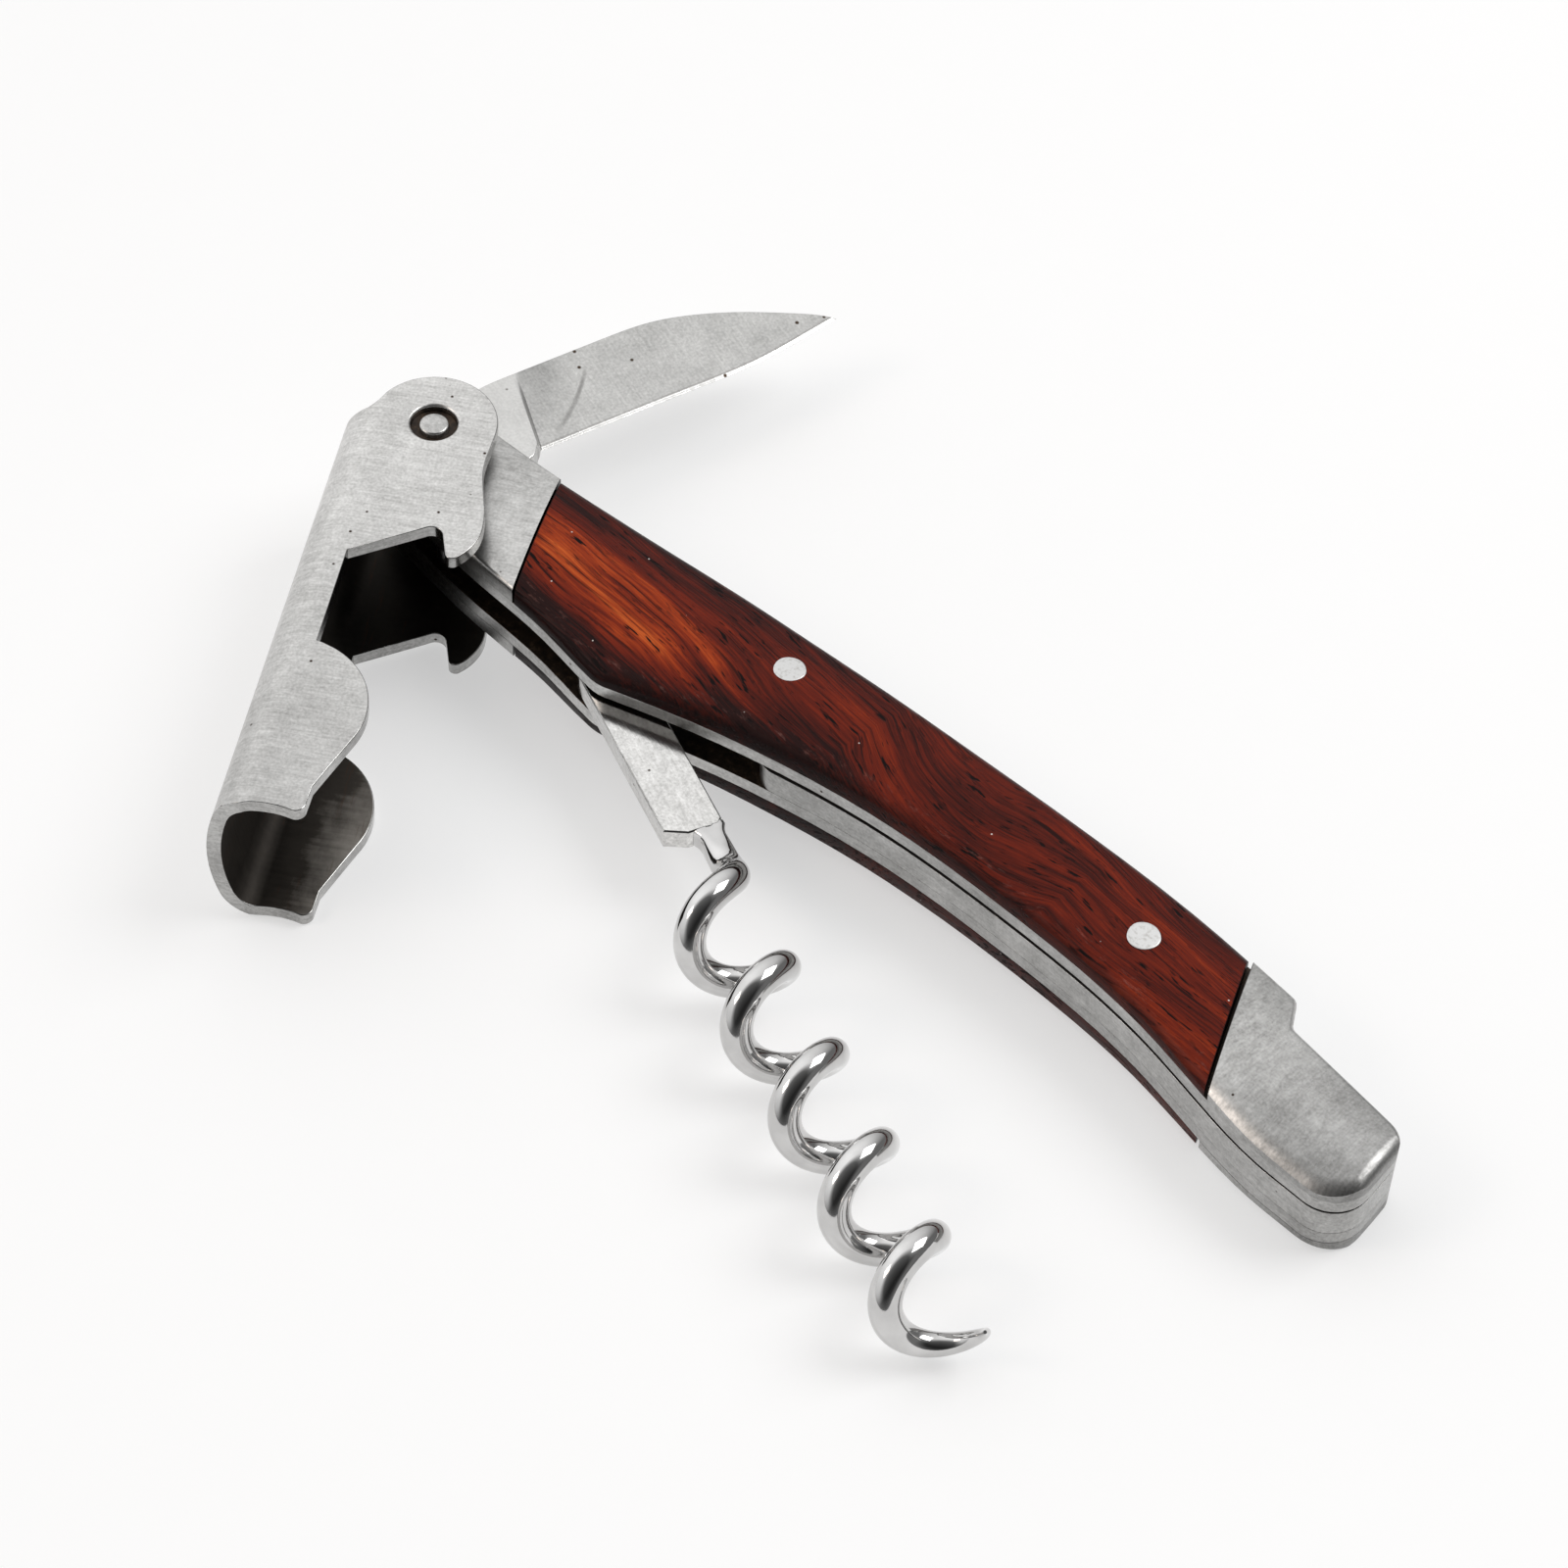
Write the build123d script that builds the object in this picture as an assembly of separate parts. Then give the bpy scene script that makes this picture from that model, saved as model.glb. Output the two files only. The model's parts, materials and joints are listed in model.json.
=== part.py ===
from build123d import *
import math
import os

# A folding lever corkscrew, half open and lying on its side. Millimetres and degrees.
# The hinge axes run along Z, the handle runs along +X from the pivot pin, and its belly faces -Y.
# Every piece is drawn about the pivot pin in the tool's middle plane, and placed at the end.

# Place of the pivot pin, measured from the middle of the open tool's outline
PIVOT_X = -48.034
PIVOT_Y = 0.8534

# Fits, on the radius or across one face
RUN_CLEAR = 0.03        # pin in a piece that turns on it
PRESS_CLEAR = 0.01      # pin in a piece that holds it
FACE_CLEAR = 0.05       # flat faces that turn past each other
SEAM_GAP = 0.16         # dark line between wood and bolster

# Stack of the handle, from the middle plane outwards
GAP = 2.8               # between the liners
LINER = 1.27            # liner thickness

# Handle outline: (x, y) stations along the back and the belly, from the pivot to the tail
HEAD_R = 4.9
BACK = [(9.7, 5.3), (25.0, 6.75), (45.0, 8.2), (65.0, 9.1)]
STEP_X = 88.3           # thumb step on the back
STEP_Y = 8.85
STEP_RUN = 5.3          # straight stretch before the step
STEP_DROP = 2.7
STEP_LEAN = 1.7
STEP_R = 0.9
TAIL_X = 103.7
TAIL_TOP = 4.95
TAIL_BOTTOM = -3.8
TAIL_LEAN = 1.0
TAIL_TOP_R = 2.4
TAIL_BOTTOM_R = 3.3
BELLY_REAR = [(90.0, -2.9), (82.0, -1.3), (66.0, -0.4), (52.0, -1.15), (41.0, -3.2)]
BELLY_TAIL_RUN = 7.0    # straight stretch of the belly at the tail
BELLY_CORNER = (27.5, -7.38)
BELLY_CORNER_HALF = 1.0
BELLY_FRONT = [(20.0, -6.55), (12.0, -6.2), (5.0, -5.6)]
HEAD_BELLY_ANGLE = 265  # where the belly runs into the round head

# Covers of the liners: x, y of the crown line, rise above the liner, radius across the handle
CROWN = [
    (-9.0, 0.0, 2.0, 30.0),
    (16.0, -0.3, 2.15, 30.0),
    (40.0, 2.2, 2.5, 24.0),
    (65.0, 4.4, 2.45, 20.0),
    (85.0, 3.2, 2.15, 18.0),
    (107.0, 0.8, 1.4, 15.0),
]
CROWN_HALF = 11.5       # half width of the drawn crown, wider than the handle
CROWN_DEPTH = 9.0       # how far the crown body reaches below the middle plane
FRONT_SEAM_X = 12.8     # seams of the wood, where they cross the line through the pivot
FRONT_SEAM_LEAN = 29.2
REAR_SEAM_X = 87.9
REAR_SEAM_LEAN = 26.4
SCALE_BACK_R = 0.9
SCALE_BELLY_R = 0.35
FRONT_BOLSTER_R = 0.3
REAR_BOLSTER_R = 0.6

# Centre spacer between the liners
SPACER_X = 40.6
SPACER_LEAN = -15.0
SPACER_NOSE_R = 2.0     # rounded corner where the spacer starts at the belly

# Rivets and hidden pins of the handle
RIVET_R = 1.35
FRONT_RIVET = (38.5, 3.5)
REAR_RIVET = (76.5, 4.05)
SPACER_PIN_R = 1.1
SPACER_PIN = (46.5, 2.9)
DOWEL_R = 0.9
DOWEL_BLIND = 0.9       # depth in the bolster
FRONT_DOWEL = (6.0, -4.15)
REAR_DOWEL = (95.5, 1.3)

# Pivot of the lever and the blade
PIN_R = 1.25
PIN_SINK = 0.12         # pin's end below the lever's face
PIN_CHAMFER = 0.3
BUSH_R = 3.3
BUSH_COLLAR_R = 1.95
BUSH_SEAT = 1.75        # height of the bush's flat seat above the liner
BUSH_COLLAR = 0.55      # collar's reach into the lever's cheek

# Lever: a U-channel of bent sheet, drawn along +X with its open side towards +Y
LEVER_ANGLE = -55.8
LEVER_WIDTH = 14.4
LEVER_SHEET = 1.2
LEVER_LENGTH = 43.1
LEVER_HEAD_R = 5.35
LEVER_HOLE_ROUND = 0.3
WEB_REACH = 8.4         # pivot axis to the outside of the web
WEB_START = -0.5        # web's end beside the head
WEB_CORNER_R = 3.4
WEB_CORNER_ANGLE = 72.0
WEB_SHOULDER_Y = -7.0
CHEEK_WAIST = [(4.2, 5.25), (8.3, 6.25)]
HOOK_CROWN = (10.6, 6.66)
HOOK_FLANK = (13.3, 6.15)
HOOK_TIP = (14.68, 4.8)
HOOK_TIP_HALF = 0.48
HOOK_ROOT = (11.62, 3.0)
HOOK_ROOT_RISE = 0.65
HOOK_ROOT_FALL = 0.9
NOTCH_Y = -3.57         # bottom of the cap notch
NOTCH_START = 15.5
LOBE_BACK = 10.6        # round lobe behind the notch, from the boot's end
LOBE_TOP = 2.2
LOBE_R = 7.03
LOBE_END_ANGLE = 67.4
BOOT_HEEL_BACK = 2.7    # kink in front of the toe, from the boot's end
BOOT_HEEL_Y = -0.15
BOOT_TOE_R = 0.9
BOOT_HOLLOW = 0.3       # how far the boot's end edge curves in
BOOT_HOLLOW_END_Y = -5.3

# Foil blade, drawn along +X with its spine towards +Y
BLADE_ANGLE = 75.8
BLADE_THICK = 2.3
BLADE_TIP = (39.85, 0.12)
BLADE_SPINE = [(36.35, 2.45), (32.9, 4.2), (28.0, 6.1), (22.0, 7.05)]
BLADE_SPINE_Y = 7.05
BLADE_SPINE_START = 10.0
BLADE_STRAIGHT = 12.0   # straight length of the cutting edge
BLADE_BELLY = (31.0, -1.2)
BLADE_EDGE_Y = -1.25
BLADE_EDGE_START = 9.2
BLADE_EDGE_HALF = 0.12  # half thickness at the cutting edge
TANG_R = 4.6
TANG_BACK_ANGLE = 100.0
TANG_KICK_ANGLE = -50.0
KICK = (8.3, -2.35)
PLUNGE_LEAN = 14.5      # lean of the line where the grind starts
PLUNGE_X = 9.45

# Worm: flat shank and wound wire, drawn along +X from its own pin
WORM_ANGLE = -21.2
WORM_PIVOT = (25.83, -4.73)
WORM_PIN_R = 1.1
SHANK_THICK = 2.05
SHANK_HALF = 2.42       # half width, and the radius about the pin
SHANK_LENGTH = 18.3
SHANK_CHAMFER = 0.9
SHANK_EDGE_R = 0.12
WIRE_R = 1.3
NECK_R = 1.0            # where the wire leaves the shank
NECK_LENGTH = 2.4       # over which it grows to the full wire
COIL_R = 2.98           # wire's centre line about the coil's axis
COIL_AXIS_Y = -1.81
COIL_PITCH = 9.1
COIL_X = 23.83      # where the wound turns are counted from
COIL_EASE = 5.0         # length over which the straight wire starts to wind
COIL_TURNS = 5.1
TIP_TURN = 0.55         # part of a turn that tapers to the point
TIP_R = 0.14
WIRE_JOIN = 0.25        # how far the neck and the tip reach into their neighbours
WIRE_JOIN_STEP = 0.02   # by how much they are thinner there
NECK_SECTIONS = 11

LINER_OUT = GAP / 2 + LINER
CHEEK_IN = LEVER_WIDTH / 2 - LEVER_SHEET
BORE_R = PIN_R + PRESS_CLEAR
FAR = 40.0              # past every edge of the handle's outline, for cutting regions


def point_at(radius, angle):
    return (radius * math.cos(math.radians(angle)), radius * math.sin(math.radians(angle)))


def hole(x, y, radius):
    """A drill through the whole tool."""
    return Pos(x, y, 0) * Cylinder(radius, 4 * LEVER_WIDTH)


def slab(face, low, high):
    return Pos(0, 0, low) * extrude(face, amount=high - low, dir=(0, 0, 1))


# Handle

def handle_face():
    """The outline that liners, bolsters, scales and spacer share."""
    head_back = (0, HEAD_R)
    head_belly = point_at(HEAD_R, HEAD_BELLY_ANGLE)
    step_start = (STEP_X - STEP_RUN, STEP_Y + 0.3)
    step_foot = (STEP_X + STEP_LEAN, STEP_Y - STEP_DROP)
    tail_belly = (TAIL_X - BELLY_TAIL_RUN, TAIL_BOTTOM + 0.08)
    corner_x, corner_y = BELLY_CORNER
    corner_rear = (corner_x + BELLY_CORNER_HALF, corner_y + 0.3)
    corner_front = (corner_x - BELLY_CORNER_HALF, corner_y - 0.02)
    with BuildSketch() as sketch:
        with BuildLine():
            Spline([head_back, *BACK, step_start], tangents=[(1, 0), (1, -0.06)])
            Polyline(
                step_start,
                (STEP_X, STEP_Y),
                step_foot,
                (TAIL_X - TAIL_LEAN, TAIL_TOP),
                (TAIL_X, TAIL_BOTTOM),
                tail_belly,
            )
            Spline([tail_belly, *BELLY_REAR, corner_rear], tangents=[(-1, 0.02), (-1, -0.36)])
            ThreePointArc(corner_rear, BELLY_CORNER, corner_front)
            Spline([corner_front, *BELLY_FRONT, head_belly], tangents=[(-1, 0.1), (-1, 0.09)])
            ThreePointArc(head_belly, (-HEAD_R, 0), head_back)
        make_face()
        corners = sketch.vertices().sort_by(Axis.X)
        fillet([corners.sort_by_distance((STEP_X, STEP_Y))[0]], STEP_R)
        fillet([sketch.vertices().sort_by_distance(step_foot)[0]], STEP_R)
        fillet([sketch.vertices().sort_by_distance((TAIL_X - TAIL_LEAN, TAIL_TOP))[0]], TAIL_TOP_R)
        fillet([sketch.vertices().sort_by_distance((TAIL_X, TAIL_BOTTOM))[0]], TAIL_BOTTOM_R)
    return sketch.sketch


def between(start_x, start_lean, end_x, end_lean):
    """Region of the handle between two leaning lines, each crossing the X axis at its own x."""
    start = math.tan(math.radians(start_lean)) * FAR
    end = math.tan(math.radians(end_lean)) * FAR
    corners = [(start_x + start, -FAR), (end_x + end, -FAR), (end_x - end, FAR), (start_x - start, FAR)]
    return make_face(Polyline(*corners, close=True))


def crown_body():
    """Everything under the crowned outside of the upper covers, lofted through the crown stations."""
    sections = []
    for x, middle, rise, radius in CROWN:
        top = LINER_OUT + rise
        drop = radius - math.sqrt(radius**2 - CROWN_HALF**2)
        left = (middle - CROWN_HALF, top - drop)
        right = (middle + CROWN_HALF, top - drop)
        with BuildSketch(Plane.YZ.offset(x)) as sketch:
            with BuildLine():
                ThreePointArc(left, (middle, top), right)
                Polyline(right, (right[0], -CROWN_DEPTH), (left[0], -CROWN_DEPTH), left)
            make_face()
        sections.append(sketch.sketch)
    return loft(sections)


def rim_edges(piece, seams, back):
    """Edges along the back or the belly where the crowned outside meets the outline."""
    rims = []
    for edge in piece.edges():
        middle = edge @ 0.5
        off_seam = all(
            abs(middle.X + math.tan(math.radians(lean)) * middle.Y - x) > 2 * SEAM_GAP for x, lean in seams
        )
        level = abs((edge % 0.5).Z) < 0.5 and middle.Z > LINER_OUT + 0.2
        if level and off_seam and (middle.Y > crown_line(middle.X)) == back:
            rims.append(edge)
    return rims


def crown_line(x):
    """Y of the crown's highest line at x, straight between the stations."""
    for (x0, y0, *_), (x1, y1, *_) in zip(CROWN, CROWN[1:]):
        if x <= x1:
            return y0 + (y1 - y0) * (x - x0) / (x1 - x0)
    return CROWN[-1][1]


def cover(face, region, crown, seams, back_r, belly_r, drills):
    """One upper cover: the outline within a region, crowned, with softened rims and its holes."""
    piece = slab(face & region, LINER_OUT, LEVER_WIDTH / 2) & crown
    back, belly = rim_edges(piece, seams, True), rim_edges(piece, seams, False)
    if back_r == belly_r:
        piece = fillet(back + belly, back_r)
    else:
        piece = fillet(back, back_r)
        piece = fillet(rim_edges(piece, seams, False), belly_r)
    for drill in drills:
        piece -= drill
    return piece


def liner(face):
    plate = slab(face, GAP / 2, LINER_OUT)
    plate -= hole(0, 0, BORE_R)
    plate -= hole(*WORM_PIVOT, WORM_PIN_R + PRESS_CLEAR)
    plate -= hole(*SPACER_PIN, SPACER_PIN_R + PRESS_CLEAR)
    plate -= hole(*FRONT_RIVET, RIVET_R + PRESS_CLEAR)
    plate -= hole(*REAR_RIVET, RIVET_R + PRESS_CLEAR)
    plate -= hole(*FRONT_DOWEL, DOWEL_R + PRESS_CLEAR)
    return plate - hole(*REAR_DOWEL, DOWEL_R + PRESS_CLEAR)


def dowel_hole(x, y):
    """Blind hole in an upper bolster for the end of a dowel."""
    depth = DOWEL_BLIND + PRESS_CLEAR
    return Pos(x, y, LINER_OUT + depth / 2) * Cylinder(DOWEL_R + PRESS_CLEAR, depth)


def bush_seat():
    """Flat seat for a pivot bush in the upper front bolster."""
    height = LEVER_WIDTH
    base = LINER_OUT + BUSH_SEAT
    return Pos(0, 0, base + height / 2) * Cylinder(BUSH_R + 2 * FACE_CLEAR, height)


def spacer(face):
    plate = slab(face & between(SPACER_X, SPACER_LEAN, 2 * TAIL_X, 0), -GAP / 2, GAP / 2)
    nose = plate.edges().filter_by(Axis.Z).sort_by(Axis.X)[:2].sort_by(Axis.Y)[0]
    plate = fillet(nose, SPACER_NOSE_R)
    plate -= hole(*SPACER_PIN, SPACER_PIN_R + PRESS_CLEAR)
    plate -= hole(*REAR_RIVET, RIVET_R + PRESS_CLEAR)
    return plate - hole(*REAR_DOWEL, DOWEL_R + PRESS_CLEAR)


def plain_pin(x, y, radius, half):
    return Pos(x, y, 0) * Cylinder(radius, 2 * half)


def flush_rivet(x, y, low, crown):
    """Rivet from a depth up to the crowned face of the upper scale."""
    height = 2 * LEVER_WIDTH
    return (Pos(x, y, low + height / 2) * Cylinder(RIVET_R, height)) & crown


# Pivot

def pivot_pin():
    pin = Cylinder(PIN_R, LEVER_WIDTH - 2 * PIN_SINK)
    return chamfer(pin.edges().filter_by(GeomType.CIRCLE), PIN_CHAMFER)


def pivot_bush():
    """Upper bush: a washer on the bolster with a collar that carries the lever's cheek."""
    seat = LINER_OUT + BUSH_SEAT
    washer_top = CHEEK_IN - FACE_CLEAR
    collar_top = CHEEK_IN + BUSH_COLLAR
    washer = Pos(0, 0, (seat + washer_top) / 2) * Cylinder(BUSH_R, washer_top - seat)
    collar = Pos(0, 0, (seat + collar_top) / 2) * Cylinder(BUSH_COLLAR_R, collar_top - seat)
    return washer + collar - hole(0, 0, BORE_R)


# Lever

def channel_profile(inset):
    """Half-closed outline of the bent channel, shrunk by the inset, in the YZ plane."""
    half = LEVER_WIDTH / 2
    bend = math.radians(WEB_CORNER_ANGLE)
    corner_z = half - WEB_CORNER_R
    web_r = WEB_CORNER_R + corner_z / math.cos(bend)
    web_y = web_r - WEB_REACH
    corner_y = web_y - (web_r - WEB_CORNER_R) * math.sin(bend)
    radius = WEB_CORNER_R - inset

    def bend_point(angle, side):
        return (corner_y - radius * math.sin(angle), side * (corner_z + radius * math.cos(angle)))

    open_y = LEVER_LENGTH
    with BuildSketch(Plane.YZ) as sketch:
        with BuildLine():
            Line((open_y, half - inset), bend_point(0, 1))
            ThreePointArc(bend_point(0, 1), bend_point(bend / 2, 1), bend_point(bend, 1))
            ThreePointArc(bend_point(bend, 1), (inset - WEB_REACH, 0), bend_point(bend, -1))
            ThreePointArc(bend_point(bend, -1), bend_point(bend / 2, -1), bend_point(0, -1))
            Line(bend_point(0, -1), (open_y, inset - half))
            Line((open_y, inset - half), (open_y, half - inset))
        make_face()
    return sketch.sketch


def cheek_face():
    """Outline of the lever seen along the pivot: head, hook, cap notch, lobe and boot."""
    head_front = (0, LEVER_HEAD_R)
    head_web = point_at(LEVER_HEAD_R, 246.9)
    tip_x, tip_y = HOOK_TIP
    tip_outer = (tip_x - 0.18, tip_y + HOOK_TIP_HALF)
    tip_inner = (tip_x - 0.33, tip_y - HOOK_TIP_HALF)
    root_x, root_y = HOOK_ROOT
    root_tip = (root_x + 0.68, root_y + HOOK_ROOT_RISE)
    root_notch = (root_x + 0.18, root_y - HOOK_ROOT_FALL)
    lobe_x = LEVER_LENGTH - LOBE_BACK
    lobe_y = LOBE_TOP - LOBE_R
    heel = (LEVER_LENGTH - BOOT_HEEL_BACK, BOOT_HEEL_Y)
    notch_angle = 180 - math.degrees(math.asin((NOTCH_Y - lobe_y) / LOBE_R))

    def lobe(angle):
        x, y = point_at(LOBE_R, angle)
        return (lobe_x + x, lobe_y + y)

    toe_y = BOOT_HEEL_Y - 0.05
    toe_in = (LEVER_LENGTH - BOOT_TOE_R, toe_y)
    toe_mid = (LEVER_LENGTH - 0.27 * BOOT_TOE_R, toe_y - 0.27 * BOOT_TOE_R)
    toe_end = (LEVER_LENGTH, toe_y - BOOT_TOE_R)
    hollow_mid = (LEVER_LENGTH - BOOT_HOLLOW, (toe_end[1] + BOOT_HOLLOW_END_Y) / 2)
    hollow_end = (LEVER_LENGTH, BOOT_HOLLOW_END_Y)
    outside = -2 * WEB_REACH
    shoulder = (WEB_START, WEB_SHOULDER_Y)
    shoulder_end = (head_web[0] + 1.25, head_web[1] - 0.93)
    shoulder_mid = (head_web[0] + 0.75, head_web[1] - 0.43)
    with BuildSketch() as sketch:
        with BuildLine():
            Spline([head_front, *CHEEK_WAIST, HOOK_CROWN], tangents=[(1, 0), (1, 0.08)])
            ThreePointArc(HOOK_CROWN, HOOK_FLANK, tip_outer)
            ThreePointArc(tip_outer, HOOK_TIP, tip_inner)
            Line(tip_inner, root_tip)
            ThreePointArc(root_tip, HOOK_ROOT, root_notch)
            Polyline(root_notch, (NOTCH_START, NOTCH_Y), lobe(notch_angle))
            ThreePointArc(lobe(notch_angle), lobe((notch_angle + LOBE_END_ANGLE) / 2), lobe(LOBE_END_ANGLE))
            Polyline(lobe(LOBE_END_ANGLE), heel, toe_in)
            ThreePointArc(toe_in, toe_mid, toe_end)
            ThreePointArc(toe_end, hollow_mid, hollow_end)
            Polyline(hollow_end, (LEVER_LENGTH, outside), (WEB_START, outside), shoulder, shoulder_end)
            ThreePointArc(shoulder_end, shoulder_mid, head_web)
            ThreePointArc(head_web, point_at(LEVER_HEAD_R, 168), head_front)
        make_face()
    return sketch.sketch


def lever():
    run = LEVER_LENGTH + 4 * LEVER_HEAD_R
    section = channel_profile(0) - channel_profile(LEVER_SHEET)
    channel = Pos(-2 * LEVER_HEAD_R, 0, 0) * extrude(section, amount=run, dir=(1, 0, 0))
    body = channel & slab(cheek_face(), -LEVER_WIDTH, LEVER_WIDTH)
    body -= hole(0, 0, BUSH_COLLAR_R + RUN_CLEAR)
    outer_rims = [
        edge for edge in body.edges().filter_by(GeomType.CIRCLE)
        if abs(abs((edge @ 0).Z) - LEVER_WIDTH / 2) < FACE_CLEAR
        and math.hypot((edge @ 0).X, (edge @ 0).Y) < PIN_R + BUSH_COLLAR_R
    ]
    return fillet(outer_rims, LEVER_HOLE_ROUND)


# Foil blade

def blade():
    spine_start = (BLADE_SPINE_START, BLADE_SPINE_Y)
    tang_back = point_at(TANG_R, TANG_BACK_ANGLE)
    tang_kick = point_at(TANG_R, TANG_KICK_ANGLE)
    edge_start = (BLADE_EDGE_START, BLADE_EDGE_Y)
    edge_curve = (BLADE_EDGE_START + BLADE_STRAIGHT, BLADE_EDGE_Y)
    with BuildSketch() as sketch:
        with BuildLine():
            Spline([BLADE_TIP, *BLADE_SPINE], tangents=[(-0.7, 0.72), (-1, 0)])
            Line(BLADE_SPINE[-1], spine_start)
            Spline([spine_start, tang_back], tangents=[(-1, 0), point_at(1, TANG_BACK_ANGLE + 90)])
            ThreePointArc(tang_back, (-TANG_R, 0), tang_kick)
            Polyline(tang_kick, KICK, edge_start, edge_curve)
            Spline([edge_curve, BLADE_BELLY, BLADE_TIP], tangents=[(1, 0), (1, 0.16)])
        make_face()
    body = slab(sketch.sketch, -BLADE_THICK / 2, BLADE_THICK / 2)
    grind = grind_wedge()
    body = body - grind - mirror(grind, about=Plane.XY)
    return body - hole(0, 0, PIN_R + RUN_CLEAR)


def grind_wedge():
    """Metal ground off the upper face, from nothing at the spine to most of it at the edge."""
    top = BLADE_THICK / 2
    outside = BLADE_EDGE_Y - TANG_R
    profile = [
        (BLADE_SPINE_Y, top),
        (BLADE_EDGE_Y, BLADE_EDGE_HALF),
        (outside, BLADE_EDGE_HALF),
        (outside, 2 * top),
        (BLADE_SPINE_Y, 2 * top),
    ]
    with BuildSketch(Plane.YZ) as sketch:
        with BuildLine():
            Polyline(*profile, close=True)
        make_face()
    wedge = extrude(sketch.sketch, amount=2 * BLADE_TIP[0], dir=(1, 0, 0))
    return wedge & slab(between(PLUNGE_X, -PLUNGE_LEAN, 3 * BLADE_TIP[0], 0), 0, 2 * BLADE_THICK)


# Worm

def coil_angle(x):
    """Turn of the wire about the coil's axis, in radians: none on the neck, then eased to the pitch."""
    rate = 2 * math.pi / COIL_PITCH
    begin = COIL_X - COIL_EASE / 2
    if x <= begin:
        return 0.0
    if x < begin + COIL_EASE:
        return rate * (x - begin)**2 / (2 * COIL_EASE)
    return rate * (x - COIL_X)


def coil_rate(x):
    rate = 2 * math.pi / COIL_PITCH
    begin = COIL_X - COIL_EASE / 2
    return rate * min(max((x - begin) / COIL_EASE, 0.0), 1.0)


def wire_section(x, radius):
    """Round section of the wire, square to its path, at x along the coil's axis."""
    angle = coil_angle(x)
    outward = Vector(0, math.cos(angle), math.sin(angle))
    along = Vector(1, -COIL_R * math.sin(angle) * coil_rate(x), COIL_R * math.cos(angle) * coil_rate(x))
    centre = Vector(x, COIL_AXIS_Y, 0) + outward * COIL_R
    return Plane(origin=centre, x_dir=outward, z_dir=along) * Circle(radius)


def coil_path(start, end):
    """Centre line of the wound wire between two places along the coil's axis."""
    angle = coil_angle(start)
    frame = Plane(
        origin=(start, COIL_AXIS_Y, 0), x_dir=(0, math.cos(angle), math.sin(angle)), z_dir=(1, 0, 0),
    )
    return frame * Helix(COIL_PITCH, end - start, COIL_R)


def worm():
    coil_end = COIL_X + COIL_TURNS * COIL_PITCH
    taper_start = coil_end - TIP_TURN * COIL_PITCH
    wound_start = COIL_X + COIL_EASE / 2
    inner_r = WIRE_R - WIRE_JOIN_STEP

    neck_start = SHANK_LENGTH - WIRE_JOIN
    neck = []
    for step in range(NECK_SECTIONS):
        x = neck_start + (wound_start + WIRE_JOIN - neck_start) * step / (NECK_SECTIONS - 1)
        grown = min((x - neck_start) / NECK_LENGTH, 1.0)
        neck.append(wire_section(x, NECK_R + (inner_r - NECK_R) * grown))

    turns = sweep(wire_section(wound_start, WIRE_R), path=coil_path(wound_start, taper_start), is_frenet=True)

    tip_start = taper_start - WIRE_JOIN
    tip = []
    for share in (0.0, 0.25, 0.5, 0.75, 1.0):
        x = tip_start + (coil_end - tip_start) * share
        tip.append(wire_section(x, inner_r + (TIP_R - inner_r) * share**1.3))
    point = sweep(tip, path=coil_path(tip_start, coil_end), multisection=True, is_frenet=True)
    return shank() + loft(neck) + turns + point


def shank():
    """Flat bar about the worm's pin, with its belly corner cut off at the far end."""
    end_cut = (SHANK_LENGTH - SHANK_CHAMFER, -SHANK_HALF)
    with BuildSketch() as sketch:
        with BuildLine():
            Polyline(
                (0, -SHANK_HALF),
                end_cut,
                (SHANK_LENGTH, -SHANK_HALF + 2 * SHANK_CHAMFER),
                (SHANK_LENGTH, SHANK_HALF - SHANK_CHAMFER / 2),
                (SHANK_LENGTH - SHANK_CHAMFER / 2, SHANK_HALF),
                (0, SHANK_HALF),
            )
            ThreePointArc((0, SHANK_HALF), (-SHANK_HALF, 0), (0, -SHANK_HALF))
        make_face()
    bar = slab(sketch.sketch, -SHANK_THICK / 2, SHANK_THICK / 2)
    bar = chamfer(bar.faces().filter_by(Axis.Z).edges(), SHANK_EDGE_R)
    return bar - hole(0, 0, WORM_PIN_R + RUN_CLEAR)


# Assembly

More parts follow.
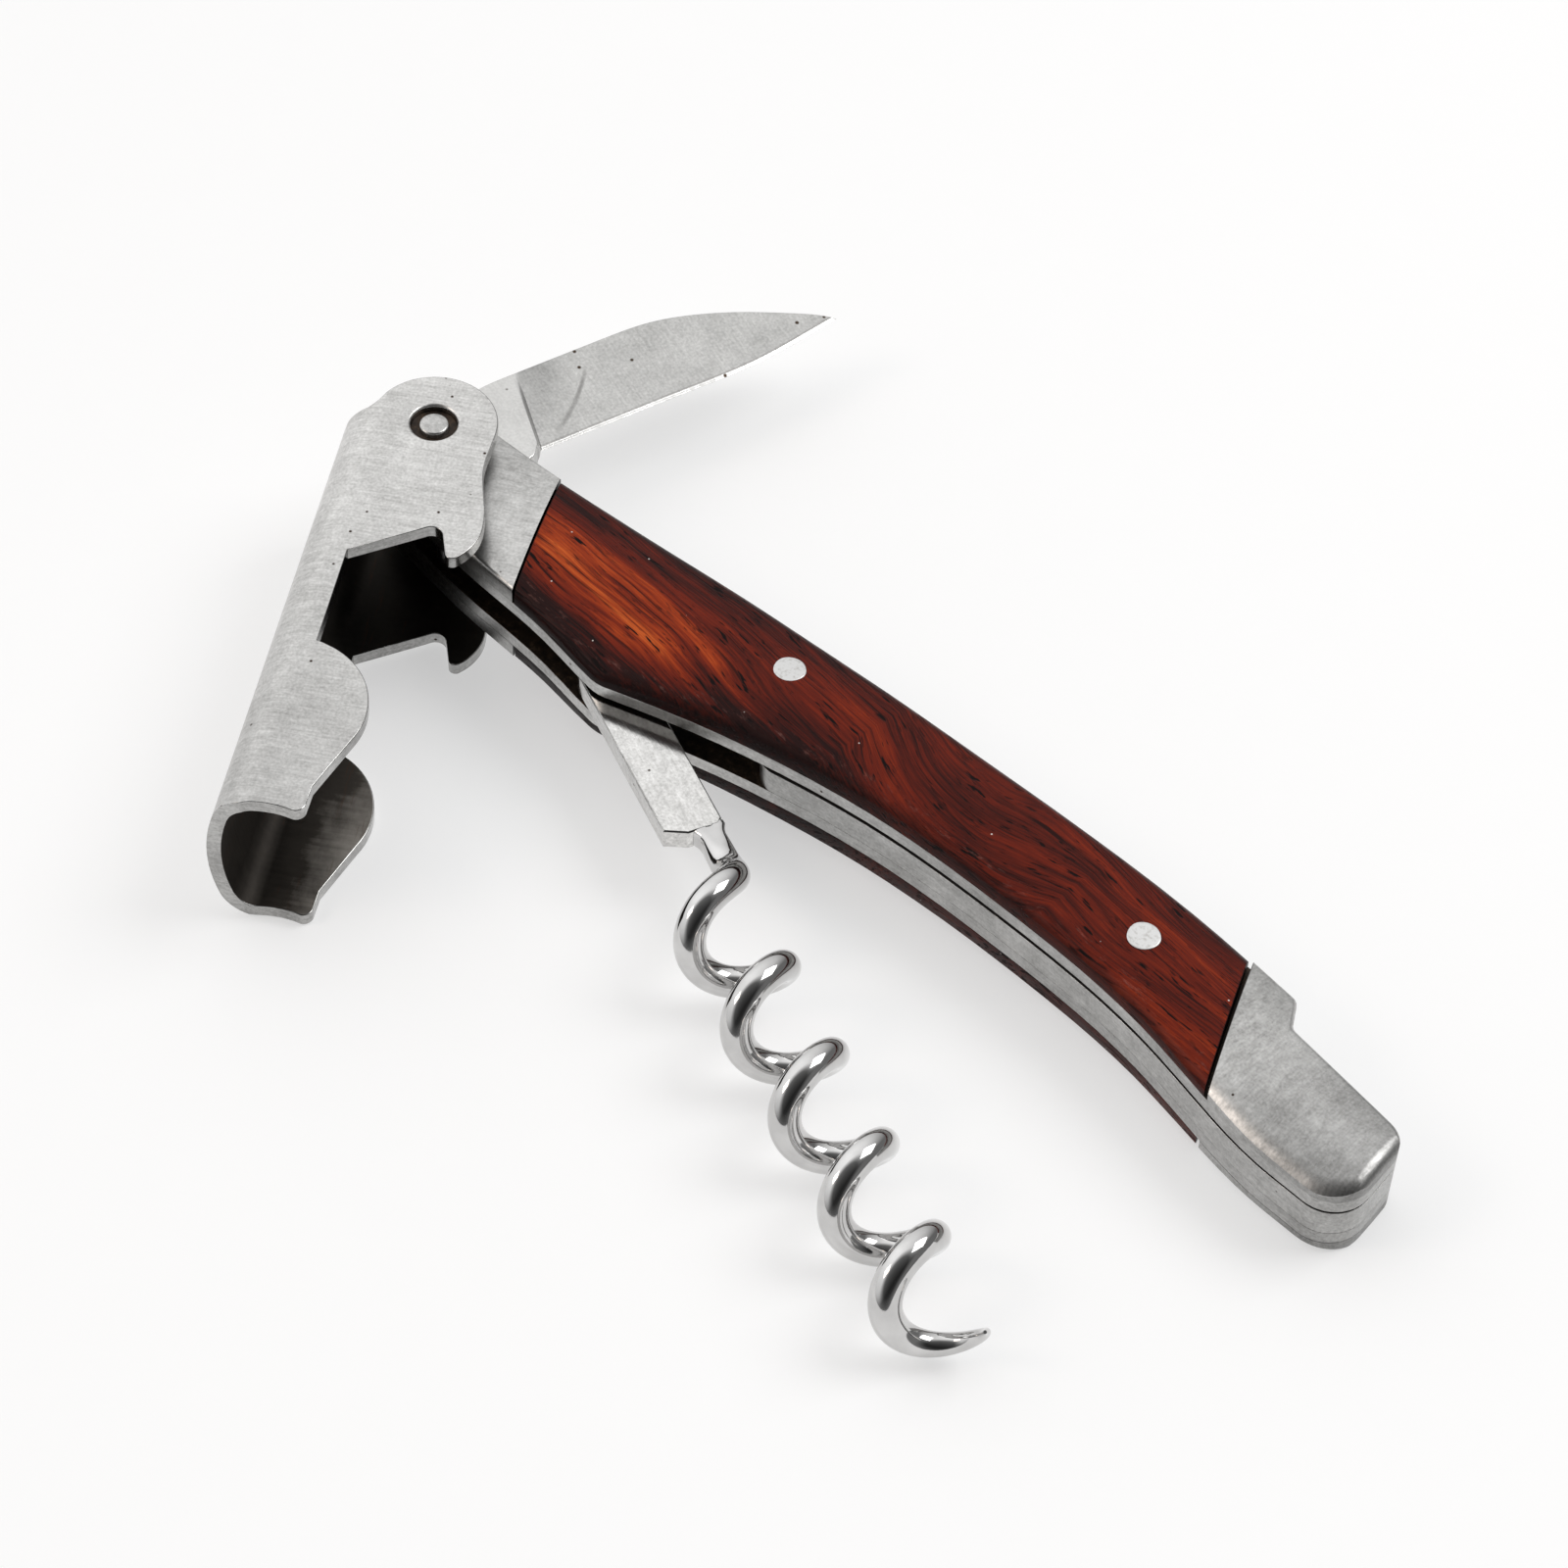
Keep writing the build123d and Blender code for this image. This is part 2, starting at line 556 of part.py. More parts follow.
def build():
    face = handle_face()
    crown = crown_body()
    lower_crown = mirror(crown, about=Plane.XY)
    front_seam = (FRONT_SEAM_X, FRONT_SEAM_LEAN)
    rear_seam = (REAR_SEAM_X, REAR_SEAM_LEAN)
    drill_pin = hole(0, 0, BORE_R)
    rivet_drills = [hole(*place, RIVET_R + PRESS_CLEAR) for place in (FRONT_RIVET, REAR_RIVET)]

    wood_front = (FRONT_SEAM_X + SEAM_GAP, FRONT_SEAM_LEAN)
    wood_rear = (REAR_SEAM_X - SEAM_GAP, REAR_SEAM_LEAN)
    front_bolster = cover(
        face, between(-FAR, 0, *front_seam), crown, [front_seam], FRONT_BOLSTER_R, FRONT_BOLSTER_R,
        [drill_pin, bush_seat(), dowel_hole(*FRONT_DOWEL)],
    )
    scale = cover(
        face, between(*wood_front, *wood_rear), crown, [wood_front, wood_rear], SCALE_BACK_R, SCALE_BELLY_R,
        rivet_drills,
    )
    rear_bolster = cover(
        face, between(*rear_seam, 2 * TAIL_X, 0), crown, [rear_seam], REAR_BOLSTER_R, REAR_BOLSTER_R,
        [dowel_hole(*REAR_DOWEL)],
    )
    uppers = {
        "liner": liner(face),
        "front_bolster": front_bolster,
        "scale": scale,
        "rear_bolster": rear_bolster,
        "pivot_bush": pivot_bush(),
    }
    nodes = {}
    for name, piece in uppers.items():
        nodes["upper_" + name] = piece
        nodes["lower_" + name] = mirror(piece, about=Plane.XY)

    front_rivet = flush_rivet(*FRONT_RIVET, GAP / 2 + FACE_CLEAR, crown)
    dowel_half = LINER_OUT + DOWEL_BLIND
    nodes["centre_spacer"] = spacer(face)
    nodes["front_scale_rivets"] = Compound([front_rivet, mirror(front_rivet, about=Plane.XY)])
    nodes["rear_scale_rivet"] = flush_rivet(*REAR_RIVET, -LEVER_WIDTH, crown) & lower_crown
    nodes["spacer_pin"] = plain_pin(*SPACER_PIN, SPACER_PIN_R, LINER_OUT - FACE_CLEAR)
    nodes["front_bolster_pin"] = plain_pin(*FRONT_DOWEL, DOWEL_R, dowel_half)
    nodes["rear_bolster_pin"] = plain_pin(*REAR_DOWEL, DOWEL_R, dowel_half)
    nodes["worm_pin"] = plain_pin(*WORM_PIVOT, WORM_PIN_R, LINER_OUT - FACE_CLEAR)
    nodes["pivot_pin"] = pivot_pin()
    nodes["lever"] = Rot(0, 0, LEVER_ANGLE) * lever()
    nodes["foil_blade"] = Rot(0, 0, BLADE_ANGLE) * blade()
    nodes["worm"] = Pos(*WORM_PIVOT, 0) * Rot(0, 0, WORM_ANGLE) * worm()
    place = Pos(PIVOT_X, PIVOT_Y, LEVER_WIDTH / 2)
    return {name: place * piece for name, piece in nodes.items()}


os.makedirs("parts", exist_ok=True)
for name, piece in build().items():
    export_step(piece, f"parts/{name}.step")
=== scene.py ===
"""Looks of a half-open lever corkscrew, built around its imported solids.

Objects are in metres in the part's own frame: +X runs along the handle to its tail, -Y to the belly, +Z up
along the hinge pins. Pieces are drawn in millimetres about their own pivot, at the middle of their thickness.
"""

import json
import math
from types import SimpleNamespace

import bmesh
import bpy
import numpy as np
from mathutils import Matrix, Vector

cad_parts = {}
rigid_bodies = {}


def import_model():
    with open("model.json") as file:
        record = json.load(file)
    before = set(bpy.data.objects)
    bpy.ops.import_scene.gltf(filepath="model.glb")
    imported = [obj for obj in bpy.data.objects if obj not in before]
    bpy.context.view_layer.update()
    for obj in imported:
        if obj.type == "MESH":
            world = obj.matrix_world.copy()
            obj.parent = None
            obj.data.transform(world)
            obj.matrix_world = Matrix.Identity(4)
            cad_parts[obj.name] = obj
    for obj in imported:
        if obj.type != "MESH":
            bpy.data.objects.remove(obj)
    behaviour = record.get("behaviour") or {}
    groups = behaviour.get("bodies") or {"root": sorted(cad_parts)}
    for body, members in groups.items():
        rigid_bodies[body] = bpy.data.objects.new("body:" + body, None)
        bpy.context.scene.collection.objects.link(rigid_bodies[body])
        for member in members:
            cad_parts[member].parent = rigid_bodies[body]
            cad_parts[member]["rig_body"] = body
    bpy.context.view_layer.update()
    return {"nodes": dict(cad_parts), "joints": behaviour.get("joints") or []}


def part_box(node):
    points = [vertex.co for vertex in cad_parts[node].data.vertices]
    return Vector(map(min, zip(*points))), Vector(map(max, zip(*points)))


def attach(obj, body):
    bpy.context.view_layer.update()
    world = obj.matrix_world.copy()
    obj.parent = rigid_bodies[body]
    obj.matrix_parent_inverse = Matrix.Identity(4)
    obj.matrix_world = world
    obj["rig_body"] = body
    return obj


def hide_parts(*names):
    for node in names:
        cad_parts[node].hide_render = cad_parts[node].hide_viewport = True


bl_info = {
    "name": "Lever Corkscrew",
    "version": (1, 0, 0),
    "blender": (4, 5, 0),
    "location": "View3D > Sidebar > Corkscrew",
    "description": "Finishes a half-open lever corkscrew: steel, rosewood, wound worm and studio",
    "category": "Object",
}

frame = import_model()
MM = 0.001

JOINTS = {joint["name"]: joint for joint in frame["joints"]}
PIVOT = Vector(JOINTS["lever_pivot"]["pos_m"])
WORM_PIVOT = Vector(JOINTS["worm_pivot"]["pos_m"])
LINER_OUT = (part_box("upper_liner")[1][2] - PIVOT.z) / MM
LEVER_OUT = (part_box("lever")[1][2] - PIVOT.z) / MM

# How far each moving piece stands turned from the handle's line
LEVER_TURN = math.radians(-55.8)
BLADE_TURN = math.radians(75.8)
WORM_TURN = math.radians(-21.2)

# Leaning lines across the handle: where each crosses the line through the pivot, and its lean in degrees
FRONT_SEAM = (12.8, 29.2)
REAR_SEAM = (87.9, 26.4)
RIBS = ((-4.88, 0.0), FRONT_SEAM, REAR_SEAM, (91.0, 10.0), (103.25, 6.5))
SEAM_HALF = 0.08

# Crown of the covers: place along the handle, highest line, rise over the liner and radius across
CROWN = np.array([
    (-9.0, 0.0, 2.0, 30.0),
    (16.0, -0.3, 2.15, 30.0),
    (40.0, 2.2, 2.5, 24.0),
    (65.0, 4.4, 2.45, 20.0),
    (85.0, 3.2, 2.15, 18.0),
    (107.0, 0.8, 1.4, 15.0),
])
FRONT_RIVET = (38.5, 3.5)
REAR_RIVET = (76.5, 4.05)

# Lever: its sheet, where the web and the bend end across it, and a little past the inside of its cheeks
SHEET = 1.2
WEB_LINE = -4.3
BEND_LINE = -3.0
CHEEK_INSIDE = LEVER_OUT - SHEET + 0.05

# Edges that break the shading, edges that are softened, and faces that count as one flat, in degrees
SHARP = 32.0
SOFTENED = 40.0
FLAT = 0.4

# Distances in metres within which points are one: on a drawn surface and on a node
DRAWN_MERGE = 2e-7
NODE_MERGE = 1e-7

# Dirt: in the seams of the steel, in its pits, and round the rivets
SEAM_DIRT = (0.012, 0.010, 0.009)
PIT_DIRT = (0.045, 0.03, 0.022)
RIVET_DIRT = (0.02, 0.012, 0.010)


# Meshes


def put_mesh(name, points, faces, body, slot, materials, sharp=SHARP, gaps=None):
    """Makes a closed object at the origin from points and faces, smooth between sharp edges, on a body."""
    mesh = bpy.data.meshes.new(name)
    mesh.from_pydata(points.tolist(), [], faces)
    for label, values in (gaps or {}).items():
        attribute = mesh.attributes.new(label, "FLOAT", "POINT")
        attribute.data.foreach_set("value", np.ravel(values).astype(np.float32))
    work = bmesh.new()
    work.from_mesh(mesh)
    bmesh.ops.remove_doubles(work, verts=work.verts, dist=DRAWN_MERGE)
    bmesh.ops.recalc_face_normals(work, faces=work.faces)
    work.to_mesh(mesh)
    work.free()
    return finish_mesh(name, mesh, body, materials, sharp)


def finish_mesh(name, mesh, body, materials, sharp):
    """Gives a mesh its materials, one smooth shading broken at sharp edges, and a body."""
    for label in ("custom_normal", "sharp_edge", "sharp_face"):
        if label in mesh.attributes:
            mesh.attributes.remove(mesh.attributes[label])
    mesh.materials.clear()
    for material in materials:
        mesh.materials.append(material)
    mesh.polygons.foreach_set("use_smooth", np.ones(len(mesh.polygons), bool))
    mesh.set_sharp_from_angle(angle=math.radians(sharp))
    obj = bpy.data.objects.new(name, mesh)
    bpy.context.scene.collection.objects.link(obj)
    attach(obj, body)
    return obj


def ring_faces(rows, columns):
    """Quads between closed rings of points, one ring a row, with a face over each end."""
    index = np.arange(rows * columns).reshape(rows, columns)
    after = np.roll(index, -1, axis=1)
    sides = np.stack([index[:-1], after[:-1], after[1:], index[1:]], axis=-1).reshape(-1, 4).tolist()
    return sides + [index[0].tolist(), index[-1].tolist()]


def place(points, centre, turn):
    """Millimetres about a pivot, with X along a piece, to the part's metres."""
    c, s = math.cos(turn), math.sin(turn)
    local = points.reshape(-1, 3) * MM
    x = local[:, 0] * c - local[:, 1] * s + centre.x
    y = local[:, 0] * s + local[:, 1] * c + centre.y
    return np.stack([x, y, local[:, 2] + centre.z], axis=1)


def put_rings(name, rings, centre, turn, body, slot, materials, **options):
    """Closed surface through rings of points, an array of rings by points by three."""
    faces = ring_faces(*rings.shape[:2])
    return put_mesh(name, place(rings, centre, turn), faces, body, slot, materials, **options)


def put_pair(name, rings, node, slot, materials, gaps):
    """Puts an upper cover and its mirror image below, each for its own node."""
    for side, sign in (("upper", 1), ("lower", -1)):
        piece = put_rings(
            f"{side}_{name}", rings * (1, 1, sign), PIVOT, 0.0, "handle", slot, materials,
            sharp=38.0, gaps=gaps)
        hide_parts(f"{side}_{node}")


def merged_copy(node, name, materials, soften=0.0, flat=False):
    """Copy of a node's mesh with its doubles merged, standing for the node, with softened edges if asked."""
    mesh = frame["nodes"][node].data.copy()
    mesh.name = name
    work = bmesh.new()
    work.from_mesh(mesh)
    bmesh.ops.remove_doubles(work, verts=work.verts, dist=NODE_MERGE)
    if flat:
        bmesh.ops.dissolve_limit(work, angle_limit=math.radians(FLAT), verts=work.verts, edges=work.edges)
    work.to_mesh(mesh)
    work.free()
    obj = finish_mesh(name, mesh, frame["nodes"][node]["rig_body"], materials, SHARP)
    if soften:
        bevel = obj.modifiers.new("softened_edges", "BEVEL")
        bevel.width = soften * MM
        bevel.segments = 2
        bevel.limit_method = "ANGLE"
        bevel.angle_limit = math.radians(SOFTENED)
        bevel.harden_normals = True
        even = obj.modifiers.new("even_triangles", "TRIANGULATE")
        even.quad_method = "BEAUTY"
        even.ngon_method = "BEAUTY"
    weighted = obj.modifiers.new("flat_faces", "WEIGHTED_NORMAL")
    weighted.keep_sharp = True
    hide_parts(node)
    return obj


def read_floats(items, label, width=3):
    """One value of every vertex, edge or face of a mesh, as rows of the given width."""
    values = np.empty(len(items) * width)
    items.foreach_get(label, values)
    return values.reshape(-1, width)


# Outlines


def reach(node, start, heading):
    """How far each ray runs in plan, along its heading, to its last crossing of a node's edges.

    A ray and an edge are two lines of the plane. Cross products of their directions and of the gap between
    their starts give the distance along the ray and the share along the edge at which they meet.
    """
    mesh = frame["nodes"][node].data
    points = read_floats(mesh.vertices, "co")
    ends = np.empty(len(mesh.edges) * 2, np.int32)
    mesh.edges.foreach_get("vertices", ends)
    corners = points[:, :2][ends.reshape(-1, 2)]
    along = corners[:, 1] - corners[:, 0]
    gap = corners[None, :, 0] - start[:, None]
    heading = heading[:, None]
    cross = heading[..., 0] * along[:, 1] - heading[..., 1] * along[:, 0]
    cross = np.where(np.abs(cross) < 1e-15, np.nan, cross)
    distance = (gap[..., 0] * along[:, 1] - gap[..., 1] * along[:, 0]) / cross
    share = (gap[..., 0] * heading[..., 1] - gap[..., 1] * heading[..., 0]) / cross
    met = (share >= 0) & (share <= 1) & (distance > 0)
    return np.where(met, distance, 0.0).max(axis=1)


def crossing(node, centre, turn, start, up):
    """Lower and upper end of each line across a node, in millimetres about its own pivot."""
    c, s = math.cos(turn), math.sin(turn)
    to_part = np.array([(c, s), (-s, c)])
    origin = start @ to_part * MM + np.array(centre.xy)
    heading = up @ to_part
    high = reach(node, origin, heading)[:, None] / MM
    low = reach(node, origin, -heading)[:, None] / MM
    return start - low * up, start + high * up


def ribs(place_x):
    """Belly and back ends of the leaning lines across the handle."""
    at, lean = np.array(RIBS).T
    lean = np.radians(np.interp(place_x, at, lean))
    start = np.stack([place_x, 0 * place_x], axis=1)
    return crossing("upper_liner", PIVOT, 0.0, start, np.stack([-np.sin(lean), np.cos(lean)], axis=1))


def rim_gaps(low, high, share):
    """Distance from each point of a grid between two rims to either rim, square to it."""
    across = high - low
    gaps = []
    for rim, part in ((low, share), (high, 1 - share)):
        along = np.gradient(rim, axis=0)
        along /= np.linalg.norm(along, axis=1, keepdims=True)
        square = np.abs(across[:, 0] * along[:, 1] - across[:, 1] * along[:, 0])
        gaps.append(square[:, None] * part)
    return gaps


def edge_first(count):
    """Shares from 0 to 1 that lie closest together at both ends."""
    return (1 - np.cos(np.linspace(0, math.pi, count))) / 2


def smooth(share):
    """Smooth step: three times the square less twice the cube of a share held between 0 and 1."""
    share = np.clip(share, 0, 1)
    return share * share * (3 - 2 * share)


def roll(gap, width, depth, tuck):
    """Drop of a rounded rim: an arc that starts level at its width and has dropped its depth at the rim.

    Tuck is the sine of the slope that it ends with, 1 for a full quarter round.
    """
    share = np.clip(1 - gap / width, 0, 1) * tuck
    return depth * (1 - np.sqrt(1 - share**2)) / (1 - math.sqrt(1 - tuck**2))


def crown(x, y):
    """Height of the crowned covers: a circle across the handle.

    Its highest line, rise and radius are polynomials along the handle that pass through the stations.
    """
    scale, degree = 50.0, len(CROWN) - 1
    stations = CROWN[:, 0] / scale
    fits = [np.polyval(np.polyfit(stations, column, degree), x / scale) for column in CROWN[:, 1:].T]
    middle, rise, radius = fits
    return LINER_OUT + rise - radius + np.sqrt(radius**2 - (y - middle) ** 2)


def cover_rings(place_x, belly_roll, back_roll, seams, end_roll=None):
    """Rings round an upper cover: up its belly wall, over the crown, down its back wall and along its base.

    The crown falls away towards the rims, and towards the last line where an end roll is given. Also gives
    each point's gap to the belly and to the back, below nought on the base, and 1 on the rings at a seam.
    """
    low, high = ribs(place_x)
    columns = 64
    share = edge_first(columns)[None]
    flat = low[:, None] + share[..., None] * (high - low)[:, None]
    x, y = flat[..., 0], flat[..., 1]
    belly_gap, back_gap = rim_gaps(low, high, share)
    drop = np.maximum(roll(belly_gap, *belly_roll), roll(back_gap, *back_roll))
    if end_roll:
        drop = np.maximum(drop, roll((place_x[-1] - place_x)[:, None] + 0 * share, *end_roll))
    top = np.concatenate([flat, (crown(x, y) - drop)[..., None]], axis=2)
    foot = top[:, [0, -1]].copy()
    foot[..., 2] = LINER_OUT
    rings = np.concatenate([foot[:, :1], top, foot[:, 1:]], axis=1)
    below, far = -1.0, 9.0
    sides = {
        "belly_gap": np.pad(belly_gap, ((0, 0), (1, 1)), constant_values=((0, 0), (below, far))),
        "back_gap": np.pad(back_gap, ((0, 0), (1, 1)), constant_values=((0, 0), (far, below))),
        "seam": np.zeros(rings.shape[:2]),
    }
    sides["seam"][list(seams)] = 1.0
    return rings, sides


# Materials


class Graph:
    """The node tree of one new material, with short calls to add and link nodes."""

    def __init__(self, name):
        self.material = bpy.data.materials.new(name)
        self.material.use_nodes = True
        self.nodes = self.material.node_tree.nodes
        self.links = self.material.node_tree.links
        self.shader = self.nodes["Principled BSDF"]

    def feed(self, socket, value):
        """Links a socket to an input, or sets a number, vector or colour on it."""
        if isinstance(value, bpy.types.NodeSocket):
            self.links.new(value, socket)
        else:
            socket.default_value = value

    def add(self, kind, settings=None, **inputs):
        """Adds a node; an input is named with underscores for spaces, or in_0, in_1 by its place."""
        node = self.nodes.new("ShaderNode" + kind)
        for key, value in (settings or {}).items():
            setattr(node, key, value)
        for key, value in inputs.items():
            socket = int(key[3:]) if key.startswith("in_") else key.replace("_", " ")
            self.feed(node.inputs[socket], value)
        return node

    def chain(self, operation, *values):
        """One operation carried on from value to value."""
        result = values[0]
        for value in values[1:]:
            result = self.add("Math", {"operation": operation}, in_0=result, in_1=value).outputs[0]
        return result

    def total(self, *values):
        """Sum of several values."""
        return self.chain("ADD", *values)

    def less(self, value, taken):
        """Difference of two values."""
        return self.chain("SUBTRACT", value, taken)

    def both(self, *values):
        """Product of several values."""
        return self.chain("MULTIPLY", *values)

    def most(self, *values):
        """Largest of several values."""
        return self.chain("MAXIMUM", *values)

    def rise(self, value, low, high, to_low=0.0, to_high=1.0):
        """Straight change from one level to another between two limits, held outside them."""
        levels = {"From_Min": low, "From_Max": high, "To_Min": to_low, "To_Max": to_high}
        return self.add("MapRange", Value=value, **levels).outputs["Result"]

    def sway(self, pattern, level, spread=0.25):
        """Change to either side of nought, up to a level where a pattern is a spread from its middle."""
        return self.rise(pattern, 0.5 - spread, 0.5 + spread, -level, level)

    def hump(self, value, middle, half):
        """Round hill, 1 at its middle and nought a half width away."""
        away = self.chain("DIVIDE", self.less(value, middle), half)
        return self.most(self.less(1.0, self.both(away, away)), 0.0)

    def mix(self, share, a, b):
        """Colour between two, by a share of the second."""
        ends = [value if isinstance(value, bpy.types.NodeSocket) else (*value, 1.0) for value in (a, b)]
        return self.add("Mix", {"data_type": "RGBA"}, in_0=share, in_6=ends[0], in_7=ends[1]).outputs[2]

    def ramp(self, share, stops):
        """Colour between several, each given with its place from 0 to 1."""
        node = self.add("ValToRGB", Fac=share)
        for _ in range(len(stops) - 2):
            node.color_ramp.elements.new(0.5)
        for element, (position, colour) in zip(node.color_ramp.elements, stops):
            element.position = position
            element.color = (*colour, 1.0)
        return node.outputs["Color"]

    def space(self, centre, turn):
        """Object coordinates in millimetres about a pivot, turned about Z."""
        places = {"Location": centre, "Rotation": (0.0, 0.0, turn), "Scale": (MM, MM, MM)}
        here = self.add("TexCoord").outputs["Object"]
        return self.add("Mapping", {"vector_type": "TEXTURE"}, Vector=here, **places).outputs["Vector"]

    def axes(self, space):
        """The three coordinates of a space."""
        return self.add("SeparateXYZ", Vector=space).outputs[:3]

    def stretch(self, space, lengths):
        """A space in millimetres measured in other lengths, one for all axes or one for each."""
        scale = (1 / np.broadcast_to(np.array(lengths, float), 3)).tolist()
        return self.add("VectorMath", {"operation": "MULTIPLY"}, in_0=space, in_1=scale).outputs[0]

    def noise(self, space, lengths, detail=3.0, roughness=0.5):
        """Cloudy pattern from 0 to 1 in a space of millimetres, its clouds as long as the given lengths."""
        settings = {"Scale": 1.0, "Detail": detail, "Roughness": roughness}
        return self.add("TexNoise", Vector=self.stretch(space, lengths), **settings).outputs["Fac"]

    def dots(self, space, cell, radius, share):
        """Small round specks: one in some cells of a random pattern, in a space of millimetres."""
        cells = self.add("TexVoronoi", Vector=self.stretch(space, cell), Scale=1.0).outputs
        near = self.rise(cells["Distance"], radius / cell, 0.6 * radius / cell)
        draw = self.add("SeparateColor", Color=cells["Color"]).outputs[0]
        return self.both(near, self.rise(draw, 1 - share, 1.001 - share))

    def gap(self, label):
        """A value that the piece's surface carries."""
        return self.add("Attribute", {"attribute_name": label}).outputs["Fac"]

    def bump(self, height, strength, depth):
        """Fine relief, its depth in millimetres."""
        return self.add("Bump", Height=height, Strength=strength, Distance=depth * MM).outputs["Normal"]

    def finish(self, **inputs):
        """Sets or links the shader's inputs and gives the material."""
        for key, value in inputs.items():
            self.feed(self.shader.inputs[key.replace("_", " ")], value)
        return self.material


def satin_steel(name, level, centre, turn, brush, roughness, cloudy=0.1, pits=0.3, darken_along=(0, 1, 0)):
    """Brushed steel: fine strokes along one way, faint cloudy handling marks, grit and a few dark pits.

    The brush gives the strokes' lengths in millimetres. The colour swings about one level with the sum of
    strokes, clouds and grit, and darkens by a share between two places along the piece. Dirt lies in a seam.
    """
    graph = Graph(name)
    space = graph.space(centre, turn)
    strokes = graph.noise(space, brush, roughness=0.65)
    broad = graph.noise(space, [3.0 * length for length in brush], detail=2.0)
    clouds = graph.noise(space, 6.0, detail=5.0, roughness=0.6)
    mottle = graph.noise(space, 0.9, roughness=0.6)
    grit = graph.noise(space, 0.24, detail=2.0)
    swing = graph.total(
        graph.sway(strokes, 0.2),
        graph.sway(broad, 0.08),
        graph.sway(clouds, cloudy, spread=0.2),
        graph.sway(mottle, 0.12, spread=0.2),
        graph.sway(grit, 0.22),
        0.5,
    )
    dark = [level * share for share in (0.62, 0.613, 0.595)]
    pale = [level * share for share in (1.38, 1.37, 1.345)]
    tone = graph.mix(swing, dark, pale)
    begin, end, darker = darken_along
    shade = graph.rise(graph.axes(space)[0], begin, end, 0.0, darker)
    tone = graph.mix(shade, tone, (0.0, 0.0, 0.0))
    pit = graph.dots(space, 2.0, 0.16, pits)
    tone = graph.mix(pit, tone, PIT_DIRT)
    tone = graph.mix(graph.gap("seam"), tone, SEAM_DIRT)
    polish = graph.total(graph.sway(strokes, -0.05, spread=0.3), graph.sway(clouds, -0.04, spread=0.2))
    worn = graph.total(polish, roughness)
    height = graph.less(graph.total(strokes, graph.both(broad, 0.5)), pit)
    normal = graph.bump(height, 0.25, 0.02)
    return graph.finish(Base_Color=tone, Metallic=1.0, Roughness=worn, Normal=normal)


def blade_steel(look, shape):
    """Ground blade: fine strokes across it, a thin bright honed edge, brown specks and a curved dark smudge.

    Before the leaning plunge line the flat is paler, and behind it the grind carries painted shade towards
    the spine, with a painted shadow line above the honed edge. The smudge lies along a parabola that starts
    low behind the plunge line.
    """
    graph = Graph("blade_ground")
    space = graph.space(PIVOT, BLADE_TURN)
    x, y, _ = graph.axes(space)
    strokes = graph.noise(space, (0.2, 2.2, 2.2), roughness=0.65)
    clouds = graph.noise(space, (5.0, 4.0, 4.0), detail=5.0, roughness=0.6)
    grit = graph.noise(space, 0.24, detail=2.0)
    nicked = graph.noise(space, (0.9, 5.0, 5.0))
    fine = graph.total(graph.sway(strokes, 0.16), graph.sway(grit, 0.24))
    swing = graph.total(fine, graph.sway(clouds, 0.2, spread=0.2), 0.5)
    tone = graph.mix(swing, look.blade_dark, look.blade_pale)
    leaning = graph.less(x, graph.both(y, math.tan(shape.plunge_lean)))
    ground = graph.rise(leaning, shape.plunge + 0.15, shape.plunge + 0.55)
    tone = graph.mix(graph.both(graph.less(1.0, ground), 0.4), tone, look.blade_flat)
    # Painted shade on the grind towards the spine, near the plunge line
    shade = graph.both(graph.hump(leaning, 10.5, 4.5), graph.rise(y, 0.0, 6.0), ground, 0.3)
    tone = graph.mix(shade, tone, (0.1, 0.1, 0.1))
    away = graph.less(x, 14.4)
    curve = graph.total(graph.both(away, 0.86), graph.both(away, away, 0.067), 1.8)
    smudge = graph.both(graph.hump(y, curve, 0.36), graph.rise(x, 11.4, 12.8), graph.rise(x, 17.6, 16.4))
    tone = graph.mix(graph.both(smudge, graph.rise(clouds, 0.35, 0.6, 0.2, 0.6)), tone, (0.10, 0.095, 0.09))
    edge_gap = graph.gap("edge_gap")
    bevel = graph.rise(edge_gap, shape.honed + 0.03, shape.honed - 0.03)
    honed = graph.both(bevel, ground, graph.rise(nicked, 0.34, 0.54, 0.2, 1.0))
    tone = graph.mix(honed, tone, look.blade_honed)
    # Painted shadow line just above the honed bevel
    painted_shadow_line = graph.both(graph.hump(edge_gap, shape.honed + 0.12, 0.13), ground, 0.32)
    tone = graph.mix(painted_shadow_line, tone, (0.16, 0.15, 0.14))
    tone = graph.mix(graph.dots(space, 2.2, 0.22, 0.7), tone, (0.06, 0.042, 0.03))
    roughness = graph.total(graph.rise(strokes, 0.2, 0.8, 0.40, 0.30), graph.both(honed, -0.08))
    normal = graph.bump(strokes, 0.25, 0.02)
    return graph.finish(Base_Color=tone, Metallic=1.0, Roughness=roughness, Normal=normal)


def polished_wire(look):
    """Polished round wire with a little haze, faint drawing lines and a few specks."""
    graph = Graph("polished_wire")
    space = graph.space(WORM_PIVOT, WORM_TURN)
    haze = graph.noise(space, 2.5, detail=4.0)
    lines = graph.noise(space, 0.3)
    tone = graph.mix(graph.rise(haze, 0.35, 0.7), look.wire_dark, look.wire_pale)
    tone = graph.mix(graph.dots(space, 2.2, 0.12, 0.25), tone, (0.10, 0.08, 0.07))
    roughness = graph.total(graph.rise(haze, 0.3, 0.7, 0.04, 0.09), graph.rise(lines, 0.3, 0.7, 0.0, 0.03))
    normal = graph.bump(lines, 0.06, 0.01)
    return graph.finish(Base_Color=tone, Metallic=1.0, Roughness=roughness, Normal=normal)


